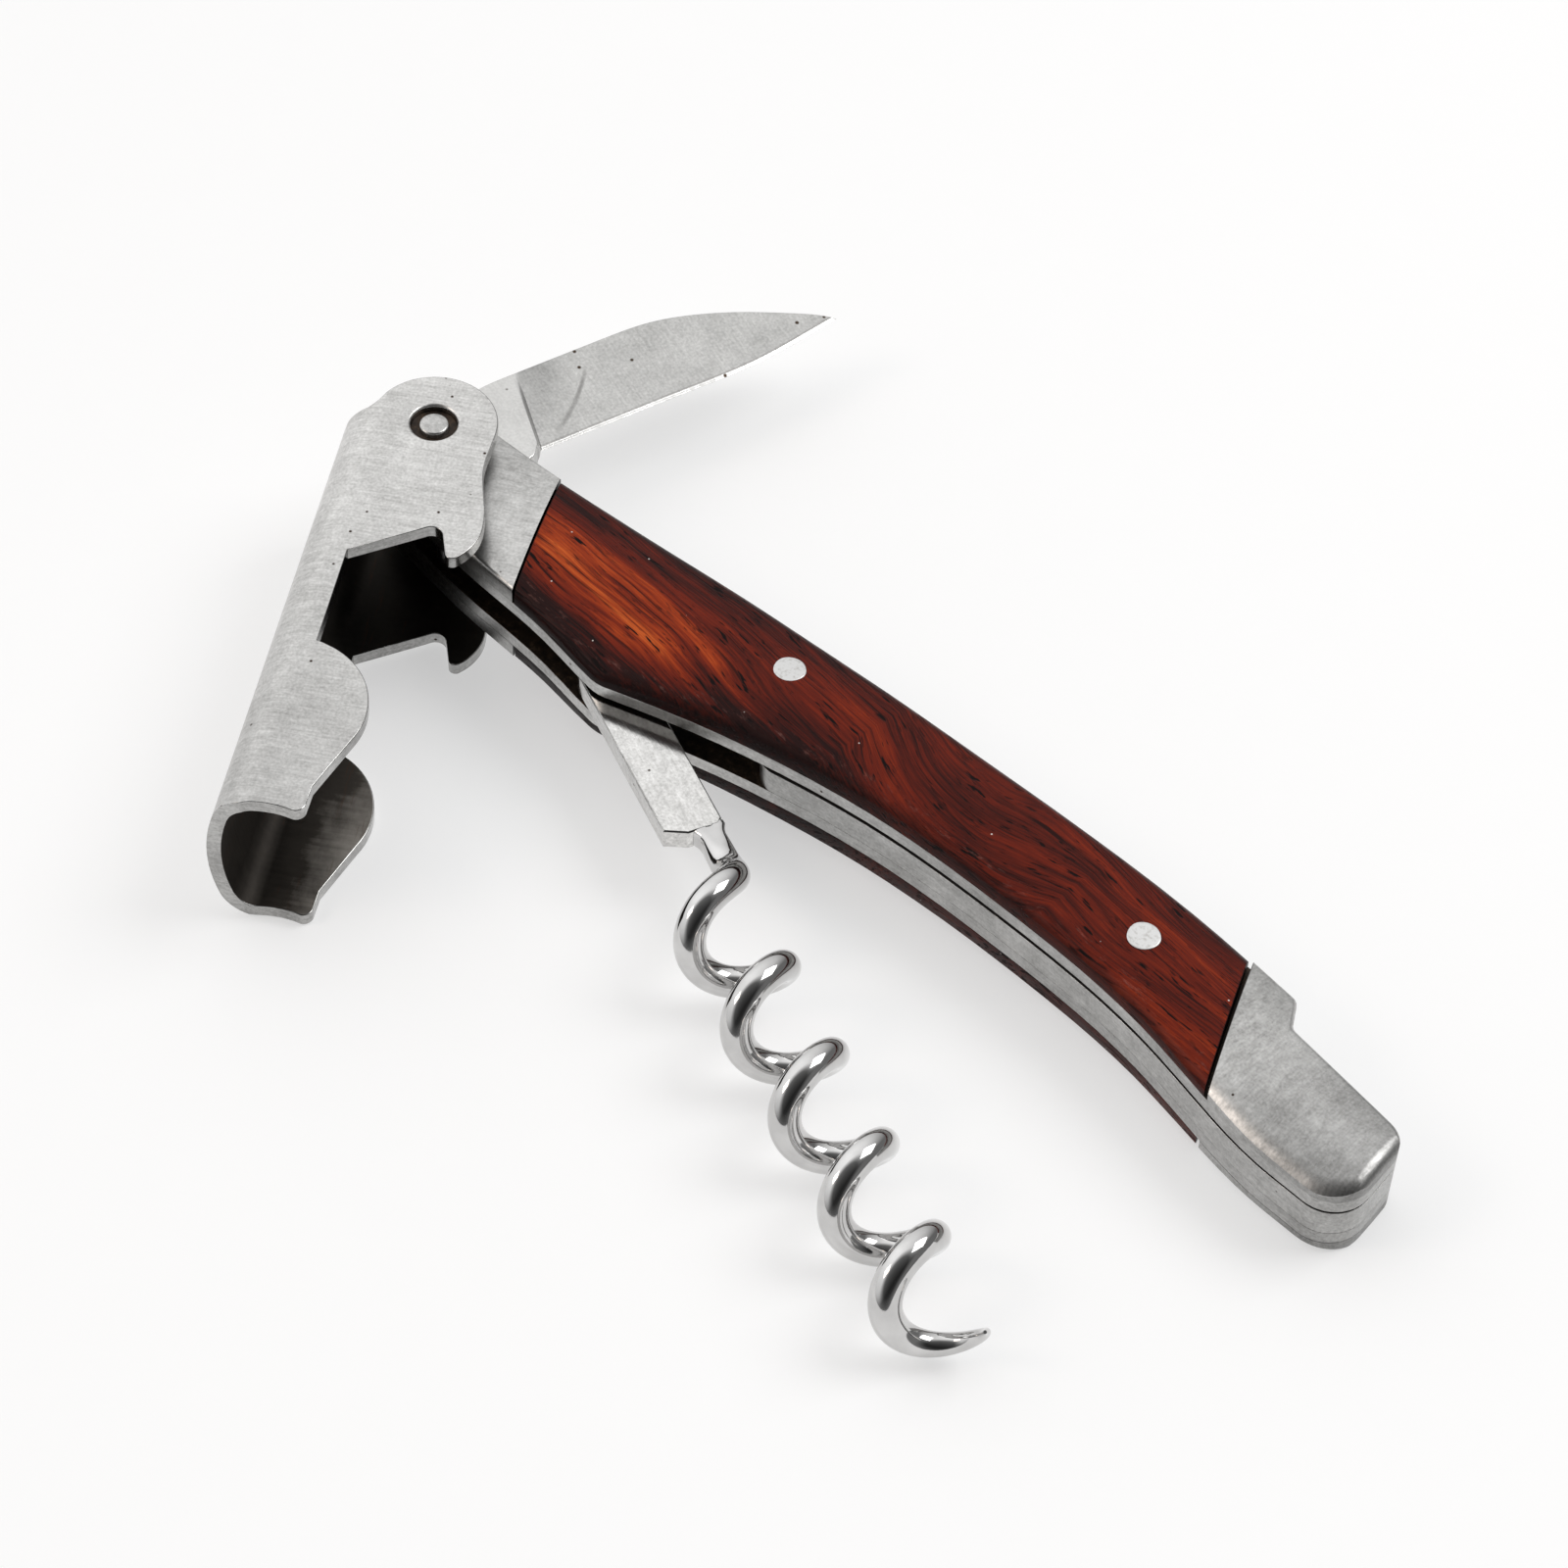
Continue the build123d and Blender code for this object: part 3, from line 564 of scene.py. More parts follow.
def rosewood(look):
    """Oiled rosewood, drawn in millimetres along the handle.

    Long bands, dark veins and fine fibres follow a grain line that wanders a little and bends round a knot
    near the middle. An orange streak crosses the front third, and both rims are darker beside it. Short dark
    pores lie along the grain, the seams are stained and the back rim darkened, the belly wall carries painted
    shade, the belly ridge is scuffed and carries a painted sheen, and dust sits in some pores.
    """
    graph = Graph("rosewood")
    space = graph.space(PIVOT, math.radians(-4.5))
    x, y, z = graph.axes(space)
    belly_gap, back_gap = graph.gap("belly_gap"), graph.gap("back_gap")
    wander = graph.sway(graph.noise(space, (22.0, 7.0, 7.0), detail=2.0), 1.0, spread=0.3)
    knot = graph.both(graph.hump(x, 58.0, 11.0), graph.hump(y, 6.5, 6.5), 2.8)
    grain = graph.add("CombineXYZ", X=x, Y=graph.total(y, wander, knot), Z=z).outputs[0]
    bands = graph.noise(grain, (34.0, 1.9, 5.0), detail=4.0, roughness=0.65)
    fibres = graph.noise(grain, (6.0, 0.2, 0.4), detail=4.0, roughness=0.7)
    pores = graph.noise(grain, (2.4, 0.34, 0.5), detail=2.0)
    fine_pores = graph.noise(grain, (1.3, 0.13, 0.3), detail=1.0)
    lines = graph.noise(grain, (10.0, 0.26, 0.5), detail=2.0)
    veins = graph.noise(grain, (13.0, 0.75, 1.5), detail=5.0, roughness=0.65)
    rubbed = graph.noise(grain, (1.6, 0.4, 0.6), detail=5.0, roughness=0.75)
    crowd = graph.noise(space, (9.0, 2.4, 3.0), detail=2.0)
    lifted = graph.total(y, graph.both(wander, 0.5))
    streak = graph.both(graph.hump(lifted, 0.3, 3.4), graph.rise(x, 8.0, 15.0), graph.rise(x, 46.0, 30.0))
    rear_glow = graph.both(graph.hump(lifted, 3.2, 4.2), graph.rise(x, 72.0, 86.0), 0.45)
    rims = graph.total(
        graph.rise(belly_gap, 0.8, 4.6, -0.46, 0.0),
        graph.rise(back_gap, 1.0, 5.0, -0.22, 0.0),
    )
    depth = graph.total(
        graph.rise(bands, 0.27, 0.73, 0.13, 0.63),
        graph.sway(fibres, 0.28, spread=0.3),
        graph.both(graph.most(streak, rear_glow), graph.rise(bands, 0.2, 0.6, 0.12, 0.46)),
        graph.both(rims, graph.rise(x, 36.0, 52.0, 1.0, 0.2)),
    )
    ground = (look.darkest, look.dark, look.deep, look.red, look.orange, look.streak)
    tone = graph.ramp(depth, list(zip((0.04, 0.24, 0.42, 0.58, 0.76, 1.00), ground)))
    opened = graph.most(
        graph.both(graph.rise(pores, 0.39, 0.33), graph.rise(crowd, 0.40, 0.50)),
        graph.both(graph.rise(fine_pores, 0.34, 0.26), 0.75),
        graph.rise(lines, 0.42, 0.31, 0.0, 0.75),
        graph.rise(veins, 0.42, 0.30, 0.0, 0.85),
    )
    tone = graph.mix(opened, tone, look.pores)
    # Darker along the back rim, painted shade on the belly wall, and stain in the seams
    back_rim_darkening = graph.rise(back_gap, 1.3, 0.2, 0.0, 0.85)
    belly_wall_shade = graph.rise(belly_gap, 0.5, -0.1, 0.0, 0.65)
    tone = graph.mix(graph.most(back_rim_darkening, belly_wall_shade, graph.gap("seam")), tone, look.stain_and_shade)
    # Scuffs on the belly ridge, with a painted sheen along it
    scuffs_and_sheen = graph.both(graph.hump(belly_gap, 1.05, 0.7), graph.rise(rubbed, 0.56, 0.74, 0.0, 0.55))
    tone = graph.mix(scuffs_and_sheen, tone, look.scuffs_and_sheen)
    dust = graph.dots(space, 1.7, 0.09, 0.4)
    tone = graph.mix(dust, tone, look.dust)
    oiled = graph.rise(fibres, 0.2, 0.8, 0.26, 0.40)
    roughness = graph.total(oiled, graph.both(opened, 0.3), graph.both(scuffs_and_sheen, 0.5), graph.both(dust, 0.4))
    raised = graph.rise(fibres, 0.2, 0.8, 0.0, 0.3)
    height = graph.total(raised, graph.both(opened, -1.0), graph.both(rubbed, 0.3))
    normal = graph.bump(height, 0.5, 0.07)
    return graph.finish(Base_Color=tone, Roughness=roughness, Normal=normal, Specular_IOR_Level=0.08)


def rivet_metal(look):
    """Pale soft metal of the rivets, filed flush: matte, speckled and a little stained."""
    graph = Graph("rivet_metal")
    space = graph.space(PIVOT, 0.6)
    speckle = graph.noise(space, 0.3)
    filed = graph.noise(space, (1.6, 0.09, 0.5), detail=2.0)
    tone = graph.mix(graph.rise(speckle, 0.5, 0.25), look.rivet, look.rivet_stain)
    tone = graph.mix(graph.gap("seam"), tone, RIVET_DIRT)
    roughness = graph.rise(speckle, 0.2, 0.8, 0.36, 0.54)
    normal = graph.bump(filed, 0.25, 0.02)
    return graph.finish(Base_Color=tone, Metallic=0.8, Roughness=roughness, Normal=normal)


def mill_scale_and_shade(look):
    """Unpolished inside of the lever: scale and painted shade by the web, rubbed grey and painted reflection
    outwards, with rusty runs.
    """
    graph = Graph("mill_scale_and_shade")
    space = graph.space(PIVOT, LEVER_TURN)
    along, across, _ = graph.axes(space)
    clouds = graph.noise(space, (4.0, 3.0, 2.0), detail=5.0, roughness=0.65)
    marks = graph.noise(space, (0.35, 4.0, 4.0), detail=4.0)
    rust = graph.noise(space, (7.0, 0.8, 0.8), detail=4.0, roughness=0.7)
    # Darker by the web, paler outwards: scale and wear, partly painted shade in the channel and painted
    # reflection on the boot
    rubbed = graph.both(graph.rise(across, -4.5, 1.5), graph.rise(along, 24.0, 36.0, 0.25, 1.0), 0.72)
    cloudy = graph.rise(clouds, 0.3, 0.7, 0.02, 0.27)
    shade = graph.total(cloudy, rubbed, graph.sway(marks, 0.05, spread=0.2))
    tone = graph.ramp(shade, [(0.0, look.scale), (0.4, look.scale_worn), (1.0, look.scale_bare_and_sheen)])
    tone = graph.mix(graph.rise(rust, 0.58, 0.72, 0.0, 0.6), tone, look.rust)
    roughness = graph.rise(marks, 0.2, 0.8, 0.44, 0.58)
    normal = graph.bump(marks, 0.15, 0.03)
    return graph.finish(Base_Color=tone, Metallic=0.8, Roughness=roughness, Normal=normal)


def grime_and_shade_steel(look):
    """Steel browned with old oil and dirt, on the bushes and on the liners' faces; on these faces its
    near-black is partly painted shade.
    """
    graph = Graph("grime_and_shade_steel")
    grime_and_shade = graph.noise(graph.space(PIVOT, 0.0), 0.7, detail=4.0, roughness=0.7)
    tone = graph.ramp(grime_and_shade, [(0.3, look.grime_and_shade), (0.55, look.grime_brown), (0.8, look.grime_worn)])
    roughness = graph.rise(grime_and_shade, 0.2, 0.8, 0.35, 0.6)
    normal = graph.bump(grime_and_shade, 0.3, 0.05)
    return graph.finish(Base_Color=tone, Metallic=0.6, Roughness=roughness, Normal=normal)


def floor_paper(look):
    """Plain white studio paper, lifted a little where it is seen or mirrored, so that shadows stay pale."""
    graph = Graph("floor_paper")
    fibre = graph.noise(graph.space((0.0, 0.0, 0.0), 0.0), 4.0, detail=5.0)
    graph.finish(Base_Color=graph.mix(fibre, look.paper_fibre, look.paper), Roughness=0.9)
    rays = graph.add("LightPath").outputs
    seen = graph.most(rays["Is Camera Ray"], rays["Is Glossy Ray"], rays["Is Transmission Ray"])
    white = graph.add("Emission", Color=(1.0, 1.0, 1.0, 1.0)).outputs[0]
    lift = graph.both(seen, look.lift)
    mixed = graph.add("MixShader", in_0=lift, in_1=graph.shader.outputs[0], in_2=white).outputs[0]
    graph.links.new(mixed, graph.nodes["Material Output"].inputs["Surface"])
    return graph.material


# Properties


def a_length(name, description, size):
    """A length that a user may change, given here in millimetres."""
    return bpy.props.FloatProperty(
        name=name, description=description, default=size * MM, precision=5, unit="LENGTH")


def an_angle(name, description, degrees):
    """An angle that a user may change, given here in degrees."""
    return bpy.props.FloatProperty(
        name=name, description=description, default=math.radians(degrees), subtype="ANGLE")


def a_share(name, description, value):
    """A share from 0 to 1 that a user may change."""
    return bpy.props.FloatProperty(
        name=name, description=description, default=value, min=0.0, max=1.0, subtype="FACTOR")


def a_colour(name, description, colour):
    """A colour that a user may change."""
    return bpy.props.FloatVectorProperty(
        name=name, description=description, default=colour, min=0.0, max=1.0, subtype="COLOR")


def a_rim(name, description, sizes):
    """A rolled rim that a user may change: width and depth in millimetres, and the sine of its end slope."""
    units = ": width and depth in mm, sine of the end slope"
    return bpy.props.FloatVectorProperty(name=name, description=description + units, default=sizes)


def in_mm(group):
    """The values of a property group by name, its lengths in millimetres."""
    values = {}
    for key in type(group).__annotations__:
        value = getattr(group, key)
        is_length = group.bl_rna.properties[key].unit == "LENGTH"
        values[key] = value / MM if is_length else value
    return SimpleNamespace(**values)


class HandleShape(bpy.types.PropertyGroup):
    """Rims of the handle's covers and size of the rivets."""

    wood_belly: a_rim("Wood belly", "Roll of the wood at the belly", (0.9, 0.45, 0.9))
    wood_back: a_rim("Wood back", "Roll of the wood at the back", (1.0, 0.95, 0.98))
    front_rim: a_rim("Front rim", "Roll of the front bolster", (0.35, 0.3, 0.95))
    rear_belly: a_rim("Rear belly", "Soft roll of the rear bolster at the belly", (1.4, 0.36, 0.5))
    rear_back: a_rim("Rear back", "Roll of the rear bolster at the back", (0.4, 0.3, 0.9))
    rear_end: a_rim("Rear end", "Roll of the rear bolster at the tail", (1.1, 0.6, 0.85))
    rivet: a_length("Rivet", "Radius of the rivet heads", 1.35)


class BladeShape(bpy.types.PropertyGroup):
    """Grind of the foil blade."""

    half: a_length("Half", "Half thickness of the flat", 1.15)
    edge: a_length("Edge", "Half thickness over the cutting edge", 0.14)
    edge_y: a_length("Edge line", "Cutting edge across the blade", -1.25)
    spine_y: a_length("Spine line", "Spine across the blade", 7.05)
    plunge: a_length("Plunge", "Place where the grind starts", 9.45)
    plunge_lean: an_angle("Plunge lean", "Lean of that line", 14.5)
    honed: a_length("Honed", "Width of the honed bevel", 0.25)


class WormShape(bpy.types.PropertyGroup):
    """Sizes of the worm's wire, along and about the coil's axis."""

    wire: a_length("Wire", "Radius of the full wire", 1.3)
    neck: a_length("Neck", "Half width where the wire leaves the shank", 1.0)
    neck_run: a_length("Neck run", "Length over which the neck grows", 3.6)
    coil: a_length("Coil", "Radius of the wire's centre line", 2.98)
    axis: a_length("Axis", "Offset of the coil's axis from the shank", -1.81)
    pitch: a_length("Pitch", "Advance in one turn", 9.1)
    begin: a_length("Begin", "Place the turns are counted from", 23.83)
    ease: a_length("Ease", "Length over which the winding starts", 5.0)
    turns: bpy.props.FloatProperty(name="Turns", description="Number of turns", default=5.1)
    point: a_share("Point", "Share of a turn that tapers", 0.55)
    point_radius: a_length("Point radius", "Radius of the wire's end", 0.14)
    shank: a_length("Shank", "Length of the flat shank", 18.3)


class MetalLook(bpy.types.PropertyGroup):
    """Brightness of each satin steel, and colours of the other metal."""

    lever: a_share("Lever", "Brightness of the lever's outside", 0.575)
    # Darker than the lever's face: the cut edges' own steel, partly painted shade
    cut_edge_and_shade: a_share("Cut edge", "Brightness of the lever's cut edges", 0.4)
    front_bolster: a_share("Front bolster", "Brightness of the front bolsters", 0.49)
    rear_bolster: a_share("Rear bolster", "Brightness of the rear bolsters", 0.43)
    liner: a_share("Liner", "Brightness of the liners' edges", 0.56)
    spacer: a_share("Spacer", "Brightness of the spacer", 0.42)
    pin: a_share("Pin", "Brightness of the pins", 0.47)
    shank: a_share("Shank", "Brightness of the worm's shank", 0.64)
    blade_dark: a_colour("Blade dark", "Dark strokes of the blade", (0.33, 0.328, 0.32))
    blade_pale: a_colour("Blade pale", "Pale strokes of the blade", (0.66, 0.655, 0.64))
    blade_flat: a_colour("Blade flat", "Unground flat of the blade", (0.72, 0.715, 0.70))
    blade_honed: a_colour("Blade honed", "Honed bevel of the blade", (0.63, 0.625, 0.61))
    wire_dark: a_colour("Wire dark", "Dark haze of the wire", (0.55, 0.545, 0.54))
    wire_pale: a_colour("Wire pale", "Pale haze of the wire", (0.66, 0.655, 0.65))
    rivet: a_colour("Rivet", "Filed metal of the rivets", (0.66, 0.66, 0.655))
    rivet_stain: a_colour("Rivet stain", "Stains on the rivets", (0.46, 0.45, 0.43))
    # Inside of the lever, darkest by the web: scale, partly painted shade; the bare steel outwards is partly
    # painted reflection
    scale: a_colour("Scale", "Dark scale inside the lever", (0.020, 0.017, 0.0145))
    scale_worn: a_colour("Scale worn", "Scale that is worn thin", (0.052, 0.045, 0.038))
    scale_bare_and_sheen: a_colour("Scale bare", "Steel rubbed bare of scale", (0.46, 0.43, 0.39))
    rust: a_colour("Rust", "Rusty runs inside the lever", (0.085, 0.036, 0.018))
    # Darkest grime; on the liners' faces partly painted shade
    grime_and_shade: a_colour("Grime", "Thick grime", (0.008, 0.006, 0.005))
    grime_brown: a_colour("Grime brown", "Browned grime", (0.035, 0.022, 0.014))
    grime_worn: a_colour("Grime worn", "Grime that is worn thin", (0.15, 0.10, 0.06))


class WoodLook(bpy.types.PropertyGroup):
    """Colours of the rosewood, from its darkest bands to the orange streak, and of what marks it."""

    darkest: a_colour("Darkest", "Darkest bands", (0.018, 0.0045, 0.004))
    dark: a_colour("Dark", "Dark bands", (0.070, 0.0082, 0.0045))
    deep: a_colour("Deep", "Deep red bands", (0.132, 0.0130, 0.005))
    red: a_colour("Red", "Red-brown bands", (0.205, 0.0215, 0.0055))
    orange: a_colour("Orange", "Orange bands", (0.345, 0.0440, 0.008))
    streak: a_colour("Streak", "Brightest part of the orange streak", (0.560, 0.1050, 0.019))
    pores: a_colour("Pores", "Pores and veins", (0.006, 0.003, 0.003))
    # Stain of the seams, darkening of the back rim and painted shade on the belly wall
    stain_and_shade: a_colour("Stain", "Stained rims and seams", (0.009, 0.005, 0.005))
    # Scuffs and painted sheen on the belly ridge
    scuffs_and_sheen: a_colour("Scuffs", "Scuffs on the belly ridge", (0.26, 0.12, 0.10))
    dust: a_colour("Dust", "Dust in the pores", (0.70, 0.66, 0.62))


class StageLook(bpy.types.PropertyGroup):
    """Camera and floor of the studio."""

    azimuth: an_angle("Azimuth", "Camera's turn about Z", 42.456)
    elevation: an_angle("Elevation", "Camera's height angle", 50.295)
    roll: an_angle("Roll", "Camera's turn about its own view", 3.043)
    distance: a_length("Distance", "Camera to its target", 386.68)
    lens: bpy.props.FloatProperty(
        name="Lens", description="Focal length on a 36 mm sensor", default=107.72, unit="CAMERA")
    target: bpy.props.FloatVectorProperty(
        name="Target", description="Point in the picture's middle", default=(-0.008276, 0.00301, 0.0),
        subtype="TRANSLATION")
    paper: a_colour("Paper", "Floor", (0.99, 0.99, 0.99))
    paper_fibre: a_colour("Paper fibre", "Fibres of the floor", (0.975, 0.975, 0.975))
    lift: a_share("Lift", "Share of plain white in the floor as it is seen", 0.52)


# Pieces


class CORKSCREW_OT_lever(bpy.types.Operator):
    """Lever of bent sheet: satin outside; dark inside, partly painted shade; rounded cut edges that catch
    bright highlights, their darker steel partly painted shade.
    """

    bl_idname = "corkscrew.lever"
    bl_label = "Lever"

    def execute(self, context):
        look = context.scene.corkscrew_metal
        satin = satin_steel(
            "lever_satin", look.lever, PIVOT, LEVER_TURN, (0.2, 2.6, 2.6), 0.36, pits=0.75,
            darken_along=(6.0, 40.0, 0.2))
        # Cut edges in a darker steel, partly painted shade where they face away from the light
        edge = satin_steel(
            "lever_cut_edge", look.cut_edge_and_shade, PIVOT, LEVER_TURN, (1.5, 1.5, 0.2), 0.19, cloudy=0.34)
        finishes = [satin, mill_scale_and_shade(look), edge]
        lever = merged_copy("lever", "lever_sheet", finishes, soften=0.38, flat=True)
        across = np.array([-math.sin(LEVER_TURN), math.cos(LEVER_TURN), 0.0])
        self.weigh_edges(lever.data, across)
        self.sort_faces(lever.data, across)
        rounding = lever.modifiers["softened_edges"]
        rounding.limit_method = "WEIGHT"
        rounding.segments = 3
        rounding.material = finishes.index(edge)
        return {"FINISHED"}

    def weigh_edges(self, mesh, across):
        """Share of the softening that each cut edge gets: all of it on the flats, less round the bend."""
        bend_share = 0.6
        mesh.set_sharp_from_angle(angle=math.radians(SOFTENED))
        sharp = np.zeros(len(mesh.edges), bool)
        mesh.attributes["sharp_edge"].data.foreach_get("value", sharp)
        mesh.set_sharp_from_angle(angle=math.radians(SHARP))
        ends = np.empty(len(mesh.edges) * 2, np.int32)
        mesh.edges.foreach_get("vertices", ends)
        over = (read_floats(mesh.vertices, "co") - np.array(PIVOT)) @ across
        bend = over[ends.reshape(-1, 2)].min(axis=1) < BEND_LINE * MM
        weight = np.where(sharp, np.where(bend, bend_share, 1.0), 0.0)
        weights = mesh.attributes.new("bevel_weight_edge", "FLOAT", "EDGE")
        weights.data.foreach_set("value", weight.astype(np.float32))

    def sort_faces(self, mesh, across):
        """Outside, inside and cut edges: by the way each face looks, along the pins and across the lever."""
        facing = 0.3
        normals = read_floats(mesh.polygons, "normal")
        centres = read_floats(mesh.polygons, "center") - np.array(PIVOT)
        side = normals[:, 2] * np.sign(centres[:, 2])
        outwards = normals @ across
        web = centres @ across < WEB_LINE * MM
        channel = web & (outwards > facing) & (np.abs(centres[:, 2]) < CHEEK_INSIDE * MM)
        inside = (side < -facing) | channel
        cut = ~inside & (np.abs(side) < facing) & ~(web & (outwards < -facing))
        mesh.polygons.foreach_set("material_index", (inside + 2 * cut).astype(np.int32))


class CORKSCREW_OT_bolsters(bpy.types.Operator):
    """Crowned steel bolsters at both ends of the handle."""

    bl_idname = "corkscrew.bolsters"
    bl_label = "Bolsters"

    def execute(self, context):
        shape, look = in_mm(context.scene.corkscrew_handle), context.scene.corkscrew_metal
        front = satin_steel("front_satin", look.front_bolster, PIVOT, 0.5, (1.6, 0.2, 0.4), 0.38, cloudy=0.22)
        # Painted shade: the rear bolsters darken towards the tail
        rear = satin_steel(
            "rear_satin", look.rear_bolster, PIVOT, 0.0, (0.22, 1.2, 0.4), 0.38, cloudy=0.34, pits=0.6,
            darken_along=(88.0, 103.0, 0.36))
        head, seam = RIBS[0][0], FRONT_SEAM[0] - SEAM_HALF
        front_x = head + (seam - head) * np.sin(np.linspace(0, math.pi / 2, 90)) ** 2
        rings, gaps = cover_rings(front_x, shape.front_rim, shape.front_rim, [-1])
        seat_radius, seat_top = 3.4, LINER_OUT + 1.7
        seat = (np.hypot(rings[..., 0], rings[..., 1]) < seat_radius) & (rings[..., 2] > seat_top)
        rings[seat, 2] = seat_top
        put_pair("bolster_front", rings, "front_bolster", "satin_steel", [front], gaps)
        seam, tail, seam_lip = REAR_SEAM[0] + SEAM_HALF, RIBS[-1][0], 0.05
        rear_x = seam + (tail - seam) * np.sin(np.linspace(0, math.pi / 2, 160))
        rear_x = np.insert(rear_x, 1, seam + seam_lip)
        rings, gaps = cover_rings(rear_x, shape.rear_belly, shape.rear_back, [0], shape.rear_end)
        put_pair("bolster_rear", rings, "rear_bolster", "satin_steel", [rear], gaps)
        return {"FINISHED"}


class CORKSCREW_OT_plates(bpy.types.Operator):
    """Liners and the spacer between them."""

    bl_idname = "corkscrew.plates"
    bl_label = "Liners and spacer"

    def execute(self, context):
        look, brush = context.scene.corkscrew_metal, (2.0, 0.2, 0.2)
        plate = satin_steel(
            "liner_steel", look.liner, PIVOT, 0.0, brush, 0.34, cloudy=0.25, darken_along=(20.0, 60.0, 0.3))
        middle = satin_steel("spacer_steel", look.spacer, PIVOT, 0.0, brush, 0.34, cloudy=0.25)
        finishes = [plate, grime_and_shade_steel(look)]
        for side in ("upper", "lower"):
            liner = merged_copy(
                f"{side}_liner", f"{side}_liner_plate", finishes, soften=0.06, flat=True)
            self.soil_and_shade(liner.data)
        spacer = merged_copy("centre_spacer", "spacer_plate", [middle], soften=0.04, flat=True)
        self.ease_top(spacer.data)
        return {"FINISHED"}

    def soil_and_shade(self, mesh):
        """Grime on both faces of a liner, which show only through the seams and in the channel, partly
        painted shade there.
        """
        faces = np.abs(read_floats(mesh.polygons, "normal")[:, 2]) > 0.9
        mesh.polygons.foreach_set("material_index", faces.astype(np.int32))

    def ease_top(self, mesh):
        """Sinks the spacer's upper face below the liner, most at its front end, so that a dark line shows."""
        places, depths = (40.0, 80.0, 90.0, 100.0), (0.45, 0.38, 0.3, 0.18)
        points = read_floats(mesh.vertices, "co")
        sunk = np.interp((points[:, 0] - PIVOT.x) / MM, places, depths)
        points[:, 2] -= np.where(points[:, 2] > PIVOT.z, sunk, 0.0) * MM
        mesh.vertices.foreach_set("co", points.ravel())


class CORKSCREW_OT_scales(bpy.types.Operator):
    """Rosewood scales, crowned between the seams."""

    bl_idname = "corkscrew.scales"
    bl_label = "Scales"

    def execute(self, context):
        shape = in_mm(context.scene.corkscrew_handle)
        front_gap, rear_gap, lip = 0.08, 0.22, 0.1
        begin = FRONT_SEAM[0] + SEAM_HALF + front_gap
        end = REAR_SEAM[0] - SEAM_HALF - rear_gap
        place_x = np.concatenate([[begin], np.linspace(begin + lip, end - lip, 260), [end]])
        rings, gaps = cover_rings(place_x, shape.wood_belly, shape.wood_back, [0, -1])
        self.ripple(rings[:, 1:-1])
        put_pair("wood", rings, "scale", "wood", [rosewood(context.scene.corkscrew_wood)], gaps)
        return {"FINISHED"}

    def ripple(self, top):
        """Faint unevenness of hand-sanded wood: the product of one wave along the handle and one across."""
        height, along, across = 0.03, 2.7, 1.9
        top[..., 2] += height * np.sin(top[..., 0] / along) * np.sin(top[..., 1] / across + 1.0)


class CORKSCREW_OT_pins(bpy.types.Operator):
    """Rivets, pins and bushes."""

    bl_idname = "corkscrew.pins"
    bl_label = "Rivets and pins"

    def execute(self, context):
        shape, look = in_mm(context.scene.corkscrew_handle), context.scene.corkscrew_metal
        metal = rivet_metal(look)
        for node, centre in (("front_scale_rivets", FRONT_RIVET), ("rear_scale_rivet", REAR_RIVET)):
            self.rivets(node, centre, shape.rivet, metal)
        steel = satin_steel("pin_steel", look.pin, PIVOT, 0.0, (0.4, 0.4, 2.0), 0.3)
        self.pivot(steel)
        bush = bpy.data.materials["grime_and_shade_steel"]
        for side in ("upper", "lower"):
            merged_copy(f"{side}_pivot_bush", f"{side}_bush", [bush])
        for node in ("front_bolster_pin", "rear_bolster_pin", "spacer_pin", "worm_pin"):
            mesh = frame["nodes"][node].data
            mesh.materials.clear()
            mesh.materials.append(steel)
        return {"FINISHED"}

    def rivets(self, node, centre, radius, metal):
        """Both heads of one place as one piece, with dirt round the rim of each."""
        heads = [self.head(centre, radius, sign) for sign in (1, -1)]
        rows, columns = heads[0].shape[:2]
        faces = ring_faces(rows, columns)
        faces = faces + [[index + rows * columns for index in face] for face in faces]
        points = place(np.concatenate(heads), PIVOT, 0.0)
        dirt = np.zeros((rows, columns))
        dirt[-2:] = 1.0
        seam = {"seam": np.concatenate([dirt, dirt])}
        piece = put_mesh(node + "_heads", points, faces, "handle", "rivet_metal", [metal], gaps=seam)
        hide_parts(node)

    def head(self, centre, radius, sign):
        """Rivet head that follows the crown: a disc a little proud of the wood, rounded down to its shaft.

        Its rim is a circle whose radius swings a little, three and five times round.
        """
        share = np.array([0.0, 0.5, 0.8, 0.92, 0.975, 1.0, 1.0])
        proud = np.array([0.05, 0.05, 0.05, 0.045, 0.03, 0.0, -1.6])
        turn = np.linspace(0, 2 * math.pi, 56, endpoint=False)
        uneven = radius * (1 + 0.012 * np.sin(3 * turn + 0.7) + 0.008 * np.sin(5 * turn))
        x = centre[0] + share[:, None] * uneven * np.cos(turn)
        y = centre[1] + share[:, None] * uneven * np.sin(turn)
        return np.stack([x, y, sign * (crown(x, y) + proud[:, None])], axis=-1)

    def pivot(self, steel):
        """Pivot pin turned about its axis: flat ends just below the cheeks, each with a rounded shoulder."""
        top = LEVER_OUT - 0.12
        radius = np.array([0.0, 0.7, 1.08, 1.16, 1.22, 1.25])
        height = top - np.array([0.0, 0.0, 0.02, 0.06, 0.13, 0.24])
        radius, height = np.append(radius, radius[::-1]), np.append(height, -height[::-1])
        turn = np.linspace(0, 2 * math.pi, 64, endpoint=False)
        flat = radius[:, None, None] * np.stack([np.cos(turn), np.sin(turn)], axis=-1)
        rings = np.concatenate([flat, np.broadcast_to(height[:, None, None], (*flat.shape[:2], 1))], axis=2)
        pin = put_rings("pivot_pin_turned", rings, PIVOT, 0.0, "handle", "pin_steel", [steel], sharp=40.0)
        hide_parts("pivot_pin")


